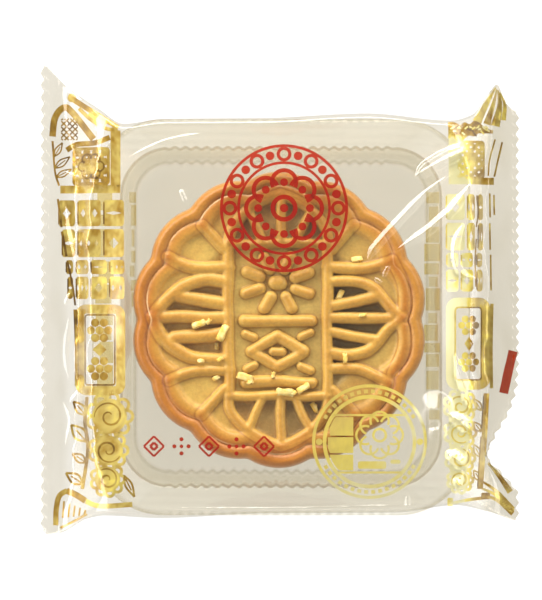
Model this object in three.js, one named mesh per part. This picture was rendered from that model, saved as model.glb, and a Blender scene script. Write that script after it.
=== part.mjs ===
// A mooncake in a clear thermoformed tray, sealed in a clear film flow pack.
//
// The closed pack is one body: a film tube drawn over the tray, flat underneath where the tray stands,
// tented over the cake on top, and pressed flat into a crimped seal at each end. A flattened tube is
// wider than the tray that it wraps, so each seal spreads into ears past the long sides.
//
// Millimetres, +Z up. X runs from seal to seal, Y across the pack. The origin lies under the middle of
// the pack's overall box, on the surface that it stands on.

import * as THREE from 'three';
import { ParametricGeometry } from 'three/addons/geometries/ParametricGeometry.js';

// Overall size of the closed pack.
const HALF_LENGTH = 57.75; // origin to the cut end of either seal
const EAR_REACH = 56.5; // origin to the tip of the widest ears, in Y
const HEIGHT = 27; // film where it lies on the cake

// The tray inside, which gives the film its form. Its centre lies a little off the pack's own middle,
// because the tube was sealed with the tray to one side.
const TRAY_CENTRE = new THREE.Vector2(0.3, -4.0);
const FLANGE_HALF_LENGTH = 46;
const FLANGE_HALF_WIDTH = 47.6;
const FLANGE_HEIGHT = 23;
const FLANGE_LIP = 2; // the flange's turned-down edge
const BASE_HALF_LENGTH = 37;
const BASE_HALF_WIDTH = 39;
const CAKE_RADIUS = 33;

// The end seals, pressed flat about half-way up.
const SEAL_HEIGHT = 12.5;
const SEAL_THICKNESS = 0.8;
const SEAL_ROOT = 49.4; // tray centre to where the film is flat, in the middle of an end
const SEAL_WAVE = 1.1; // rise and fall of the seal along its width
const SEAL_WAVE_LENGTH = 74;
const EAR_DRAW_IN = 7; // how much sooner the film starts to drop at an ear than in the middle
const EAR_DRAW_OUT = 5.5; // how much later it is flat
const EDGE_ROUND = 0.25; // bulge of the film's long edges

// Outline seen from above, as [x, y] along each long side, from seal to seal.
const BACK_EDGE = [
  [-HALF_LENGTH, EAR_REACH], [-51, 51], [-43.6, 45.9], [-37.5, 42.2], [-28, 43.4], [-4, 43.6],
  [21, 44.7], [41, 43], [46.5, 44.6], [49.9, 49.2], [52.3, 51.8], [54.6, 47.2], [HALF_LENGTH, 45.4],
];
const FRONT_EDGE = [
  [-HALF_LENGTH, -55.8], [-56.4, -EAR_REACH], [-53, -56.2], [-46, -52.6], [-42, -51.9], [-29, -52.5],
  [-5, -51.4], [28, -51.2], [42, -49.4], [50, -51], [HALF_LENGTH, -53.2],
];
// Cut edge of the +X seal, as [y, x]: it is folded back near the front ear.
const RIGHT_END = [
  [-47, HALF_LENGTH], [-42.5, 54.5], [-37.5, 50.3], [-33, 52.2], [-26, 56], [-20, 57.5],
  [-14, HALF_LENGTH],
];

// Mesh density: strips across each sheet, steps up each wall, and stations from the middle to an end.
const ACROSS = 28;
const WALL_STEPS = 2;
const STATIONS = [
  HALF_LENGTH, 56.4, 55.1, 54, 53, 52, 51, 50, 49.2, 48.4, 47.6, 46.8, 46, 45, 44, 43, 42, 40.5,
  39, 37, 34.5, 31, 27, 21, 14, 7,
];

const clamp01 = (t) => Math.min(1, Math.max(0, t));
const ease = (t) => clamp01(t) ** 2 * (3 - 2 * clamp01(t));
const mix = (a, b, t) => a + (b - a) * t;

// Smooth curve through [at, value] knots, flat beyond the first and last. It never swings past a knot.
function through(knots, at) {
  const last = knots.length - 1;
  if (at <= knots[0][0]) return knots[0][1];
  if (at >= knots[last][0]) return knots[last][1];
  const i = knots.findIndex((knot, k) => k > 0 && at <= knot[0]) - 1;
  const rise = (k) => (knots[k + 1][1] - knots[k][1]) / (knots[k + 1][0] - knots[k][0]);
  const slope = (k) => {
    if (k === 0 || k === last || rise(k - 1) * rise(k) <= 0) return 0;
    return (2 * rise(k - 1) * rise(k)) / (rise(k - 1) + rise(k));
  };
  const [x0, y0] = knots[i];
  const [x1, y1] = knots[i + 1];
  const run = x1 - x0;
  const t = (at - x0) / run;
  const h = t * t * (3 - 2 * t);
  const bend = slope(i) * t * (1 - t) ** 2 - slope(i + 1) * t * t * (1 - t);
  return mix(y0, y1, h) + bend * run;
}

// How far the film has come down from the tray's end towards the flat seal: 0 on the tray, 1 on the
// seal. The drop is short and steep in the middle of an end and drawn out towards the ears.
function collapse(x, across, edge) {
  const spread = across ** 4;
  const from = edge - EAR_DRAW_IN * spread;
  const to = SEAL_ROOT + EAR_DRAW_OUT * spread;
  return ease((Math.abs(x - TRAY_CENTRE.x) - from) / (to - from));
}

// Middle height of the flattened film.
function sealHeight(x, y) {
  const phase = x < 0 ? 0.6 : 2.3;
  return SEAL_HEIGHT + SEAL_WAVE * Math.sin((2 * Math.PI * y) / SEAL_WAVE_LENGTH + phase);
}

// Height of the film stretched from the cake's top to the tray's flange.
function tent(x, y) {
  const dx = x - TRAY_CENTRE.x;
  const dy = y - TRAY_CENTRE.y;
  const out = Math.max(Math.abs(dx) / FLANGE_HALF_LENGTH, Math.abs(dy) / FLANGE_HALF_WIDTH);
  const radius = Math.max(Math.hypot(dx, dy), CAKE_RADIUS);
  const fall = (1 - out) / (1 - (out * CAKE_RADIUS) / radius);
  return mix(FLANGE_HEIGHT, HEIGHT, ease(radius > CAKE_RADIUS ? fall : 1));
}

// A point of the pack's skin. `station` is the distance along X before the end is folded back, `side`
// runs from -1 at the front edge to 1 at the back, and `level` from 0 underneath to 1 on top.
function skin(station, side, level, target) {
  const across = Math.abs(side);
  const middle = (through(BACK_EDGE, station) + through(FRONT_EDGE, station)) / 2;
  const half = (through(BACK_EDGE, station) - through(FRONT_EDGE, station)) / 2;
  const topDrop = collapse(station, across, FLANGE_HALF_LENGTH);
  const baseDrop = collapse(station, across, BASE_HALF_LENGTH);

  // The base is narrower than the flange until the film is flat.
  const baseMiddle = mix(TRAY_CENTRE.y, middle, baseDrop);
  const baseHalf = mix(BASE_HALF_WIDTH, half, baseDrop);
  const topY = middle + half * side;
  const baseY = baseMiddle + baseHalf * side;
  const y = mix(baseY, topY, level);

  const flat = sealHeight(station, topY);
  const rim = across === 1 ? FLANGE_HEIGHT - FLANGE_LIP : tent(station, topY);
  const top = mix(rim, flat + SEAL_THICKNESS / 2, topDrop);
  const base = mix(0, flat - SEAL_THICKNESS / 2, baseDrop);
  const bulge = across === 1 && level > 0 && level < 1 ? side * EDGE_ROUND : 0;

  const folded = through(RIGHT_END, y);
  const inFin = clamp01((station - SEAL_ROOT) / (HALF_LENGTH - SEAL_ROOT));
  const x = station > SEAL_ROOT ? mix(SEAL_ROOT, folded, inFin) : station;
  target.set(x, y + bulge, mix(base, top, level));
}

// Walks once round the film tube: over the top from back to front, down the front wall, back
// underneath, and up the back wall.
function roundSection(step) {
  const wall = WALL_STEPS + 1;
  if (step <= ACROSS) return { side: 1 - (2 * step) / ACROSS, level: 1 };
  step -= ACROSS;
  if (step <= wall) return { side: -1, level: 1 - step / wall };
  step -= wall;
  if (step <= ACROSS) return { side: -1 + (2 * step) / ACROSS, level: 0 };
  step -= ACROSS;
  return { side: 1, level: step / wall };
}

function filmPackGeometry() {
  const stations = [...STATIONS.map((x) => -x), 0, ...STATIONS.toReversed()];
  const steps = 2 * ACROSS + 2 * (WALL_STEPS + 1);
  const stacks = stations.length + 1;

  // The first and last rows close each cut end along the middle of its thickness.
  const point = (u, v, target) => {
    const row = Math.round(v * stacks);
    const { side, level } = roundSection(Math.round(u * steps) % steps);
    const station = stations[Math.min(Math.max(row - 1, 0), stations.length - 1)];
    const closing = row === 0 || row === stacks;
    skin(station, side, closing ? 0.5 : level, target);
  };
  return new ParametricGeometry(point, steps, stacks);
}

function filmPack() {
  const material = new THREE.MeshStandardMaterial({
    color: '#e6dfcd',
    roughness: 0.15,
    metalness: 0,
    transparent: true,
    opacity: 0.4,
  });
  const mesh = new THREE.Mesh(filmPackGeometry(), material);
  mesh.name = 'film_pack';
  return mesh;
}

const mooncakePack = new THREE.Group();
mooncakePack.name = 'mooncake_pack';
mooncakePack.add(filmPack());

export default mooncakePack;
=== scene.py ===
"""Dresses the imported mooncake: the cake with its moulded top, the clear tray, the sealed film and its prints.

Lengths are worked out in millimetres and put into each mesh in metres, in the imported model's own frame:
+Z up, X from end seal to end seal, Y across the pack, the origin under its middle.
"""

import math
import random

import bmesh
import bpy
import numpy as np
from bpy.props import FloatProperty, FloatVectorProperty, PointerProperty
from mathutils import Matrix, Vector, noise


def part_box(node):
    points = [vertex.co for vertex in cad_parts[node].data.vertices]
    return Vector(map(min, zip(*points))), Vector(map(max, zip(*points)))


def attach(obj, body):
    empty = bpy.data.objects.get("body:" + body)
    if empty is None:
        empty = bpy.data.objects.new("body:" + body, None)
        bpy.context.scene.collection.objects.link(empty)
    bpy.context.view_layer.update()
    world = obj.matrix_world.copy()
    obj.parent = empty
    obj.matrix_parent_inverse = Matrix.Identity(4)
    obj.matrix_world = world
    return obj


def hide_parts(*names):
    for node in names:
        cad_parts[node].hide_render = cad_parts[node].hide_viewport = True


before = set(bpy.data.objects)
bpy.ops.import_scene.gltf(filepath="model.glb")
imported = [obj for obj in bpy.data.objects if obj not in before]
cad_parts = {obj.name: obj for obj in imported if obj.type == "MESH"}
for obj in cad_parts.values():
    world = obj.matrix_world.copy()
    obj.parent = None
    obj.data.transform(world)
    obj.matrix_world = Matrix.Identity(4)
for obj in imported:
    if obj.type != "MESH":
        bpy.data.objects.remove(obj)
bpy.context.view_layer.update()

bl_info = {
    "name": "Mooncake in clear film",
    "version": (1, 0, 0),
    "blender": (4, 5, 0),
    "location": "3D View > Sidebar > Mooncake",
    "description": "Builds a moulded mooncake in a clear tray and a sealed film pack round the packed model",
    "category": "Object",
}

MM = 0.001
PACK_HIGH = np.array(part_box("film_pack")[1]) / MM


# --- The film's form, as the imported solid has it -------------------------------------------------

HALF_LENGTH = float(PACK_HIGH[0])
HEIGHT = float(PACK_HIGH[2])
EAR_REACH = 56.5
TRAY_CENTRE = (0.3, -4.0)
FLANGE_HALF_LENGTH = 46.0
FLANGE_HALF_WIDTH = 47.6
FLANGE_HEIGHT = 23.0
FLANGE_LIP = 2.0
BASE_HALF_LENGTH = 37.0
BASE_HALF_WIDTH = 39.0
CAKE_RADIUS = 33.0
SEAL_HEIGHT = 12.5
SEAL_THICKNESS = 0.3
SEAL_ROOT = 49.4  # tray's middle to where the film is flat
SEAL_WAVE = 1.1
SEAL_WAVE_LENGTH = 74.0
EAR_DRAW_IN = 7.0  # how much sooner the film starts to drop at an ear than in the middle
EAR_DRAW_OUT = 5.5  # how much later it is flat
TOOTH_PITCH = 2.95
TOOTH_DEPTH = 0.9
CRIMP_PITCH = 1.3
CRIMP_HEIGHT = 0.07
CRIMP_FROM = 51.5  # pack's middle to where the crimp starts
LIP_WIDTH = 1.2  # how far in from the long edges the film bends down

BACK_EDGE = [
    (-HALF_LENGTH, EAR_REACH), (-51, 51), (-43.6, 45.9), (-37.5, 42.2), (-28, 43.4), (-4, 43.6),
    (21, 44.7), (41, 43), (46.5, 44.6), (49.9, 49.2), (52.3, 51.8), (54.6, 47.2), (HALF_LENGTH, 45.4),
]
FRONT_EDGE = [
    (-HALF_LENGTH, -55.8), (-56.4, -EAR_REACH), (-53, -56.2), (-46, -52.6), (-42, -51.9), (-29, -52.5),
    (-5, -51.4), (28, -51.2), (42, -49.4), (50, -51), (HALF_LENGTH, -53.2),
]
# Cut edge of the +X seal, as (y, x): it is folded back near the front ear.
RIGHT_END = [
    (-47, HALF_LENGTH), (-42.5, 54.5), (-37.5, 50.3), (-33, 52.2), (-26, 56), (-20, 57.5),
    (-14, HALF_LENGTH),
]

# Folds and creases of the film on top: (points, how far the flanks spread, how far along it is widest).
# None stands for a crease that doesn't narrow towards its ends.
# All flanks lean alike, at the lean that mirrors the low windows straight up.
CREASE_SLOPE = 0.66
CREASE_ROUND = 0.1  # softens ridges and feet, in parts of the spread
CREASES = [
    ([(32.3, 29.2), (34.0, 32.0), (36.8, 33.9), (40.6, 35.9), (44.6, 37.1), (49.0, 38.3)], 0.9, 0.4),
    ([(32.3, 29.2), (35.0, 31.0), (38.6, 33.1), (43.0, 35.2), (46.6, 37.0), (48.9, 38.1)], 1.9, 0.22),
    ([(20.9, 8.5), (21.9, 11.1), (23.5, 13.3), (27.1, 17.3), (34.2, 24.8), (38.6, 28.4), (42.4, 31.2)],
     1.45, 0.2),
    ([(47.4, 29.6), (44.6, 26.0), (41.4, 21.8), (39.0, 19.7), (35.0, 16.3), (30.7, 13.5), (26.4, 10.7)],
     1.5, 0.5),
    ([(26.4, 8.4), (25.4, 6.8), (24.8, 5.0)], 0.8, 0.5),
    ([(22.4, 5.4), (23.6, 4.4), (24.6, 4.2)], 0.7, 0.5),
    ([(45.0, 19.3), (43.0, 16.1), (42.0, 12.9), (42.2, 8.9), (43.8, 6.1), (48.4, 4.5)], 1.25, 0.5),
    ([(46.6, 4), (46.4, -8), (46.7, -18)], 0.8, 0.4),
    ([(41.8, -12.6), (43.2, -18.0), (45.2, -22.8), (46.6, -26.8)], 1.6, 0.6),
    ([(-51.4, 34.2), (-46, 31), (-40.0, 26.6)], 1.0, 0.7),
    ([(-53.6, 31.4), (-47, 28.8), (-40.4, 26.3)], 0.9, 0.7),
    ([(-51.6, 23.5), (-50.0, 16), (-48.2, 8.6), (-46.2, 0.6)], 1.3, 0.4),
    ([(-49.8, 47.2), (-46.9, 43.5), (-43.2, 39.6)], 0.6, 0.45),
    ([(-38.1, 33.1), (-27.8, 38), (-16.2, 40.3)], 0.5, 0.5),
    ([(-38, -50.0), (0, -50.2), (38, -49.2)], 0.75, 0.6),
    ([(36.2, -26.2), (37.2, -26.2)], 4.6, None),
    ([(37.0, -31.6), (37.9, -31.3)], 2.3, None),
    ([(-23.5, 25.7), (-22.8, 23.9)], 0.8, None),
    ([(30.7, -46.6), (30.6, -50.4)], 0.9, 0.5),
    ([(-50.5, -3), (-51.6, -12), (-50.8, -20)], 0.9, 0.5),
    ([(-52.4, -24), (-50.4, -29), (-51.8, -36)], 0.9, 0.5),
    ([(-50.2, 2), (-51.8, -1.5)], 0.9, 0.5),
    ([(-47.6, -21.4), (-50.8, -25.0)], 0.8, 0.5),
    ([(40.2, -27.4), (43.2, -29.2), (46.6, -32.2)], 1.7, 0.5),
    ([(40.0, -36.6), (42.4, -38.4), (45.2, -41.0)], 1.7, 0.4),
    ([(41.4, -43.0), (43.8, -45.4)], 1.0, 0.5),
]


def ease(t, start=0, end=1):
    """A smooth step: 0 up to start, 1 from end on. End may be the lower of the two."""
    t = np.clip((t - start) / (end - start), 0, 1)
    return t * t * (3 - 2 * t)


def mix(a, b, t):
    """The value a part t of the way from a to b."""
    return a + (b - a) * t


def through(knots, at):
    """Smooth curve through (at, value) knots, flat past both ends. It never swings past a knot."""
    places, values = np.array(knots, float).T
    at = np.clip(at, places[0], places[-1])
    runs = np.diff(places)
    rises = np.diff(values) / runs
    slopes = np.zeros(len(places))
    same = rises[:-1] * rises[1:] > 0
    slopes[1:-1][same] = (2 * rises[:-1] * rises[1:])[same] / (rises[:-1] + rises[1:])[same]
    i = np.clip(np.searchsorted(places, at, side="right") - 1, 0, len(runs) - 1)
    t = (at - places[i]) / runs[i]
    h = t * t * (3 - 2 * t)
    bend = slopes[i] * t * (1 - t) ** 2 - slopes[i + 1] * t * t * (1 - t)
    return mix(values[i], values[i + 1], h) + bend * runs[i]


def curve(points, step):
    """Points a step apart on a smooth curve through the given ones."""
    points = np.array(points, float)
    if len(points) == 2:
        count = max(2, int(np.linalg.norm(points[1] - points[0]) / step) + 1)
        return mix(points[0], points[1], np.linspace(0, 1, count)[:, None])
    padded = np.vstack([2 * points[0] - points[1], points, 2 * points[-1] - points[-2]])
    run = []
    for a, b, c, d in zip(padded, padded[1:], padded[2:], padded[3:]):
        count = max(2, int(np.linalg.norm(c - b) / step) + 1)
        t = np.linspace(0, 1, count, endpoint=False)[:, None]
        start = 2 * b + (c - a) * t + (2 * a - 5 * b + 4 * c - d) * t**2
        run.append(0.5 * (start + (3 * b - a - 3 * c + d) * t**3))
    return np.vstack(run + [points[-1:]])


def path_distance(x, y, path):
    """Distance from each (x, y) to the path, and how far along the path its nearest point is, 0 to 1."""
    best = np.full(np.shape(x), 1e9)
    along = np.zeros(np.shape(x))
    for i, (a, b) in enumerate(zip(path, path[1:])):
        run = b - a
        t = np.clip(((x - a[0]) * run[0] + (y - a[1]) * run[1]) / (run @ run), 0, 1)
        away = np.hypot(x - a[0] - t * run[0], y - a[1] - t * run[1])
        nearer = away < best
        best = np.where(nearer, away, best)
        along = np.where(nearer, (i + t) / (len(path) - 1), along)
    return best, along


def waver(x, y, scale, seed):
    """Smooth random field from about -1 to 1, whose bumps are about `scale` wide."""
    z = seed * 17.3
    return np.array([noise.noise((a / scale, b / scale, z)) for a, b in zip(x.tolist(), y.tolist())])


def collapse(x, across, edge):
    """How far the film has come down from the tray's end towards the flat seal, 0 to 1."""
    spread = across**4
    begin = edge - EAR_DRAW_IN * spread
    end = SEAL_ROOT + EAR_DRAW_OUT * spread
    return ease(np.abs(x - TRAY_CENTRE[0]), begin, end)


def seal_height(x, y):
    """Middle height of the flattened film."""
    phase = np.where(x < 0, 0.6, 2.3)
    return SEAL_HEIGHT + SEAL_WAVE * np.sin(2 * math.pi * y / SEAL_WAVE_LENGTH + phase)


def tent(x, y):
    """Height of the film stretched from the cake's top to the tray's flange."""
    dx = x - TRAY_CENTRE[0]
    dy = y - TRAY_CENTRE[1]
    out = np.maximum(np.abs(dx) / FLANGE_HALF_LENGTH, np.abs(dy) / FLANGE_HALF_WIDTH)
    radius = np.maximum(np.hypot(dx, dy), CAKE_RADIUS)
    fall = (1 - out) / (1 - out * CAKE_RADIUS / radius)
    return mix(FLANGE_HEIGHT, HEIGHT, ease(np.where(radius > CAKE_RADIUS, fall, 1)))


def crease_places(x, y):
    """For each crease: distances from its ridge, the flanks' spread there, and which places that's about."""
    for points, spread, widest in CREASES:
        path = curve(points, 1.0)
        low = path.min(0) - 2 * spread
        high = path.max(0) + 2 * spread
        near = (x > low[0]) & (x < high[0]) & (y > low[1]) & (y < high[1])
        away, along = path_distance(x[near], y[near], path)
        taper = np.ones(len(away))
        if widest is not None:
            taper = 1.3 * np.sin(math.pi / 2 * np.minimum(along / widest, (1 - along) / (1 - widest)))
        yield away, spread * np.clip(taper, 0.05, 1), near


def crease_height(x, y):
    """How far folds and slack lift the film at each (x, y)."""
    out = np.abs(x)
    crumple = ease(out, 40, 46) * ease(out, 53, 51)
    lift = 0.16 * waver(x, y, 11, 1) + (0.05 + 0.16 * crumple) * waver(x, y, 3.5, 2)
    lift = lift + 0.3 * crumple * waver(x * 1.6, y * 0.6, 5.5, 8)
    # Where the film falls towards a seal, the flanks lean as much more or less as the film does.
    falling = 0.45 * np.sign(x) * ease(out, 34, 40) * ease(out, 49, 47)
    for away, reach, near in crease_places(x, y):
        flank = np.sqrt((1 - away / reach).clip(0) ** 2 + CREASE_ROUND**2) - CREASE_ROUND
        lift[near] += CREASE_SLOPE * (1 + falling[near]) * reach * flank
    return lift


def long_edges(station):
    """Middle and half width of the pack at a station along X."""
    back = through(BACK_EDGE, station)
    front = through(FRONT_EDGE, station)
    return (back + front) / 2, (back - front) / 2


def skin(station, side, level):
    """A point of the film: side goes from -1 in front to 1 at the back, level from 0 below to 1 on top."""
    across = np.abs(side)
    middle, half = long_edges(station)
    top_y = middle + half * side
    uneven = 0.9 * waver(top_y, 0 * station, 8, 31) + 0.45 * waver(top_y, 0 * station, 2.6, 32)
    top_drop = collapse(station + uneven, across, FLANGE_HALF_LENGTH)
    base_drop = collapse(station, across, BASE_HALF_LENGTH)
    base_middle = mix(TRAY_CENTRE[1], middle, base_drop)
    base_half = mix(BASE_HALF_WIDTH, half, base_drop)
    y = mix(base_middle + base_half * side, top_y, level)

    flat = seal_height(station, top_y)
    lip = FLANGE_LIP * np.clip(1 - (1 - across) * half / LIP_WIDTH, 0, 1) ** 2
    top = mix(tent(station, top_y) - lip, flat + SEAL_THICKNESS / 2, top_drop)
    base = mix(0.0, flat - SEAL_THICKNESS / 2, base_drop)

    folded = through(RIGHT_END, y)
    in_fin = np.clip((station - SEAL_ROOT) / (HALF_LENGTH - SEAL_ROOT), 0, 1)
    x = np.where(station > SEAL_ROOT, mix(SEAL_ROOT, folded, in_fin), station)
    crimped = ease(np.abs(station), CRIMP_FROM, CRIMP_FROM + 1.5)
    crimp = CRIMP_HEIGHT * np.sin(2 * math.pi * station / CRIMP_PITCH) * crimped
    z = mix(base, top, level) + (crease_height(x, y) + crimp) * mix(base_drop, 1.0, level)
    return x, y, z


def on_film(x, y, level, sink):
    """The place on the film's top (level 1) or underside (level 0) over (x, y), sunk a little way inside."""

    def height(x, y):
        reach = through(RIGHT_END, y)
        in_fin = (x - SEAL_ROOT) / (reach - SEAL_ROOT)
        station = np.where(x > SEAL_ROOT, mix(SEAL_ROOT, HALF_LENGTH, in_fin), x)
        middle, half = long_edges(station)
        if level == 0:
            drop = collapse(station, np.abs(y - middle) / half, BASE_HALF_LENGTH)
            middle = mix(TRAY_CENTRE[1], middle, drop)
            half = mix(BASE_HALF_WIDTH, half, drop)
        side = np.clip((y - middle) / half, -1, 1)
        return skin(station, side, float(level))[2]

    step = 0.05
    z = height(x, y)
    slope_x = (height(x + step, y) - z) / step
    slope_y = (height(x, y + step) - z) / step
    length = np.sqrt(slope_x**2 + slope_y**2 + 1)
    depth = sink / length * (1 if level else -1)
    return x + slope_x * depth, y + slope_y * depth, z - depth


# --- The cake's moulded top ----------------------------------------------------------------------

CAKE_CENTRE = (-0.2, -4.9)
CAKE_BASE = 1.3
CAKE_TOP = 26.0
LOBES = 14
LOBE_SPREAD = 22.1  # cake's middle to the middle of each scallop's circle
LOBE_RADIUS = 13.3
RIM_WIDTH = 3.0
RIM_ROUND = 1.5
RIM_DROP = 2.4
FOOT_ROUND = 1.4
WALL_SWELL = 0.3
NOTCH_ROUND = math.radians(1.6)
DEPTH = 1.3  # scales the heights below
ARCH_LINE = 4.7  # scalloped edge to the crest of the plump arch inside the rim
RELIEF = 2.45  # height of the tallest ridge over the deepest gap

RAIL_LEFT = -12.1
RAIL_RIGHT = 11.6
PANEL_HALF = 18.2

# Ridges of the moulded top: (points, half width, height), round the cake's own centre.
FAN_LEFT = [
    ([(-12.6, 9.0), (-17.1, 9.7), (-21, 9.1), (-23.5, 8.0), (-25.9, 5.8), (-28.4, 3.2), (-30.2, 0.9)],
     1.75, 1.8),
    ([(-30.2, 0.7), (-29.3, -2.1), (-27.6, -5.0), (-24.5, -7.4), (-20.1, -9.1), (-12.6, -9.3)], 1.75, 1.8),
    ([(-24.0, 5.9), (-17.4, 4.7), (-12.6, 3.8)], 1.75, 1.65),
    ([(-28.4, 0.7), (-12.6, 0.7)], 1.7, 1.65),
    ([(-25.4, -4.5), (-18, -3.7), (-12.6, -3.0)], 1.75, 1.65),
]
FAN_RIGHT = [
    ([(12.0, 9.2), (16.5, 9.5), (19.7, 8.9), (22.9, 7.2), (25.5, 4.6), (27.7, 2.1), (29.4, 0.8)], 1.55, 1.75),
    ([(29.4, 0.8), (28.1, -0.5), (26.1, -2.4), (24, -5.0), (20.8, -7.4), (16.5, -8.4), (12.0, -8.0)],
     1.55, 1.75),
    ([(12.4, 3.3), (18, 4.4), (23.9, 5.8)], 1.5, 1.65),
    ([(12.0, 0.55), (26.6, 0.6)], 1.5, 1.65),
    ([(12.4, -2.9), (18, -3.9), (23.3, -4.7)], 1.5, 1.65),
    ([(27.2, 14.3), (29.9, 8.4), (29.9, 3.1)], 1.5, 1.75),
    ([(27.2, -12.7), (29.9, -6.8), (29.8, -1.5)], 1.5, 1.75),
]
SIDE_BARS = [
    ([(-12.1, 12.3), (-17, 12.2), (-20.5, 12.5), (-24, 13.5), (-26.8, 15.0)], 1.65, 1.75),
    ([(-12.1, -12.0), (-18, -12.0), (-22, -12.7), (-26.4, -14.4)], 1.6, 1.75),
    ([(11.6, 12.8), (17, 12.5), (21.2, 12.5), (26.2, 13.8)], 1.6, 1.75),
    ([(11.6, -11.6), (17.5, -11.4), (20.8, -12.1), (26.4, -15.2)], 1.5, 1.75),
    ([(-13.2, 16.8), (-18.4, 22.8)], 1.5, 1.75),
    ([(-13.2, -16.6), (-18.4, -22.6)], 1.5, 1.75),
    ([(12.8, 17.0), (18.2, 22.8)], 1.5, 1.75),
    ([(12.8, -16.8), (18.2, -22.7)], 1.5, 1.75),
]
PANEL_FRAME = [
    ([(RAIL_LEFT, -PANEL_HALF), (RAIL_LEFT, PANEL_HALF)], 1.45, 1.85),
    ([(RAIL_RIGHT, -PANEL_HALF), (RAIL_RIGHT, PANEL_HALF)], 1.45, 1.85),
    ([(RAIL_LEFT, -PANEL_HALF), (RAIL_RIGHT, -PANEL_HALF)], 1.3, 1.7),
    ([(RAIL_LEFT, PANEL_HALF), (RAIL_RIGHT, PANEL_HALF)], 1.3, 1.7),
]
END_FAN = [
    ([(-12.2, 18.5), (-11.6, 21.6), (-9.4, 24.7), (-6.5, 27.1), (-3.1, 29), (0.2, 30.2)], 1.45, 1.7),
    ([(12.0, 18.5), (11.5, 21.6), (9.4, 24.7), (6.7, 27.1), (3.4, 29), (0.2, 30.2)], 1.45, 1.7),
    ([(0.5, 18.6), (0.5, 28.6)], 1.25, 1.6),
    ([(-3.9, 18.9), (-5.4, 22.2), (-7.2, 26.0)], 1.25, 1.6),
    ([(4.1, 18.9), (5.6, 22.4), (7.4, 26.0)], 1.25, 1.6),
]

# The panel between the rails: a blossom of short bars over a lozenge and two plain bars.
BLOSSOM_CENTRE = (-0.3, 8.9)
BLOSSOM_BARS = 8
BLOSSOM_INNER = 3.9
BLOSSOM_OUTER = 7.0
LOZENGE = [(-6.6, -7.6), (-0.3, -3.9), (6.0, -7.6), (-0.3, -11.4)]
PANEL_STROKE = 1.5
PANEL_HEIGHT = 1.6


def blossom_bars():
    """Short round-ended bars set round a knob, like petals."""
    x, y = BLOSSOM_CENTRE
    bars = [([(x - 0.5, y), (x + 0.5, y)], 1.9, PANEL_HEIGHT)]
    for i in range(BLOSSOM_BARS):
        turn = 2 * math.pi * (i + 0.5) / BLOSSOM_BARS
        c, s = math.cos(turn), math.sin(turn)
        ends = [(x + r * c * 1.16, y + r * s * 0.94) for r in (BLOSSOM_INNER, BLOSSOM_OUTER)]
        bars.append((ends, PANEL_STROKE, PANEL_HEIGHT))
    return bars


def lozenge_bars():
    """A lozenge of four bars round a short one, plain bars above and below, and one at each corner."""
    sides = [([a, b], PANEL_STROKE, PANEL_HEIGHT) for a, b in zip(LOZENGE, LOZENGE[1:] + LOZENGE[:1])]
    across = ([(-1.3, -7.6), (0.7, -7.6)], 1.2, 1.5)
    above = ([(-8.3, -0.3), (7.7, -0.3)], 1.55, 1.75)
    below = ([(-8.3, -14.9), (7.7, -14.9)], 1.5, 1.75)
    corners = []
    for side in (-1, 1):
        x = -0.3 + side * 7.7
        corners.append(([(x, -3.3), (x - side * 2.2, -4.2)], 1.15, 1.55))
        corners.append(([(x, -11.9), (x - side * 2.2, -11.0)], 1.15, 1.55))
    return sides + corners + [across, above, below]


def flipped(strokes):
    """The same ridges, mirrored to the front of the cake."""
    return [([(x, -y) for x, y in points], width, height) for points, width, height in strokes]


def cake_strokes():
    """All the ridges of the moulded top but the scallops' own."""
    fans = FAN_LEFT + FAN_RIGHT + END_FAN + flipped(END_FAN)
    return fans + SIDE_BARS + PANEL_FRAME + blossom_bars() + lozenge_bars()


def lobe_fold(angle):
    """Angle from the nearest scallop's middle, rounded off at the notches between scallops."""
    half = math.pi / LOBES
    from_notch = half - np.abs(angle % (2 * half) - half)
    near = from_notch < NOTCH_ROUND
    eased = from_notch**2 / (2 * NOTCH_ROUND) + NOTCH_ROUND / 2
    return half - np.where(near, eased, from_notch)


def lobe_reach(angle, radius):
    """Cake's middle to the scallops' edge, for scallops of this radius."""
    fold = lobe_fold(angle)
    return LOBE_SPREAD * np.cos(fold) + np.sqrt(radius**2 - (LOBE_SPREAD * np.sin(fold)) ** 2)


def inset(x, y):
    """Distance in from the scalloped edge."""
    r = np.hypot(x, y)
    fold = lobe_fold(np.arctan2(y, x))
    return LOBE_RADIUS - np.hypot(r * np.cos(fold) - LOBE_SPREAD, r * np.sin(fold))


def blend_max(a, b, soft=0.45):
    """The larger of two heights, with the corner between them filled."""
    return np.maximum(a, b) + np.maximum(soft - np.abs(a - b), 0) ** 2 / (4 * soft)


def in_fan(x, y):
    """1 inside the four fans, where the ground is deepest, fading to 0 outside."""
    left = 1 - ((x + 12.6) / 16.4) ** 2 - ((y - 0.4) / 9.2) ** 2
    right = 1 - ((x - 12.0) / 16.2) ** 2 - ((y - 0.5) / 8.8) ** 2
    ends = 1 - ((x - 0.2) / 11.6) ** 2 - ((np.abs(y) - 18.0) / 12.0) ** 2
    left = np.where(x < RAIL_LEFT, left, -1)
    right = np.where(x > RAIL_RIGHT, right, -1)
    ends = np.where(np.abs(y) > PANEL_HALF, ends, -1)
    return ease(np.maximum(np.maximum(left, right), ends), 0, 0.12)


def in_panel(x, y):
    """1 on the panel between the rails, 0 outside."""
    return ((x > RAIL_LEFT) & (x < RAIL_RIGHT) & (np.abs(y) < PANEL_HALF)).astype(float)


def hand_pressed(x, y):
    """Places of the mould's pattern that lie at (x, y): the pressed dough is a little out of true."""
    return x + 0.5 * waver(x, y, 9, 3), y + 0.5 * waver(x, y, 9, 4)


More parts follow.
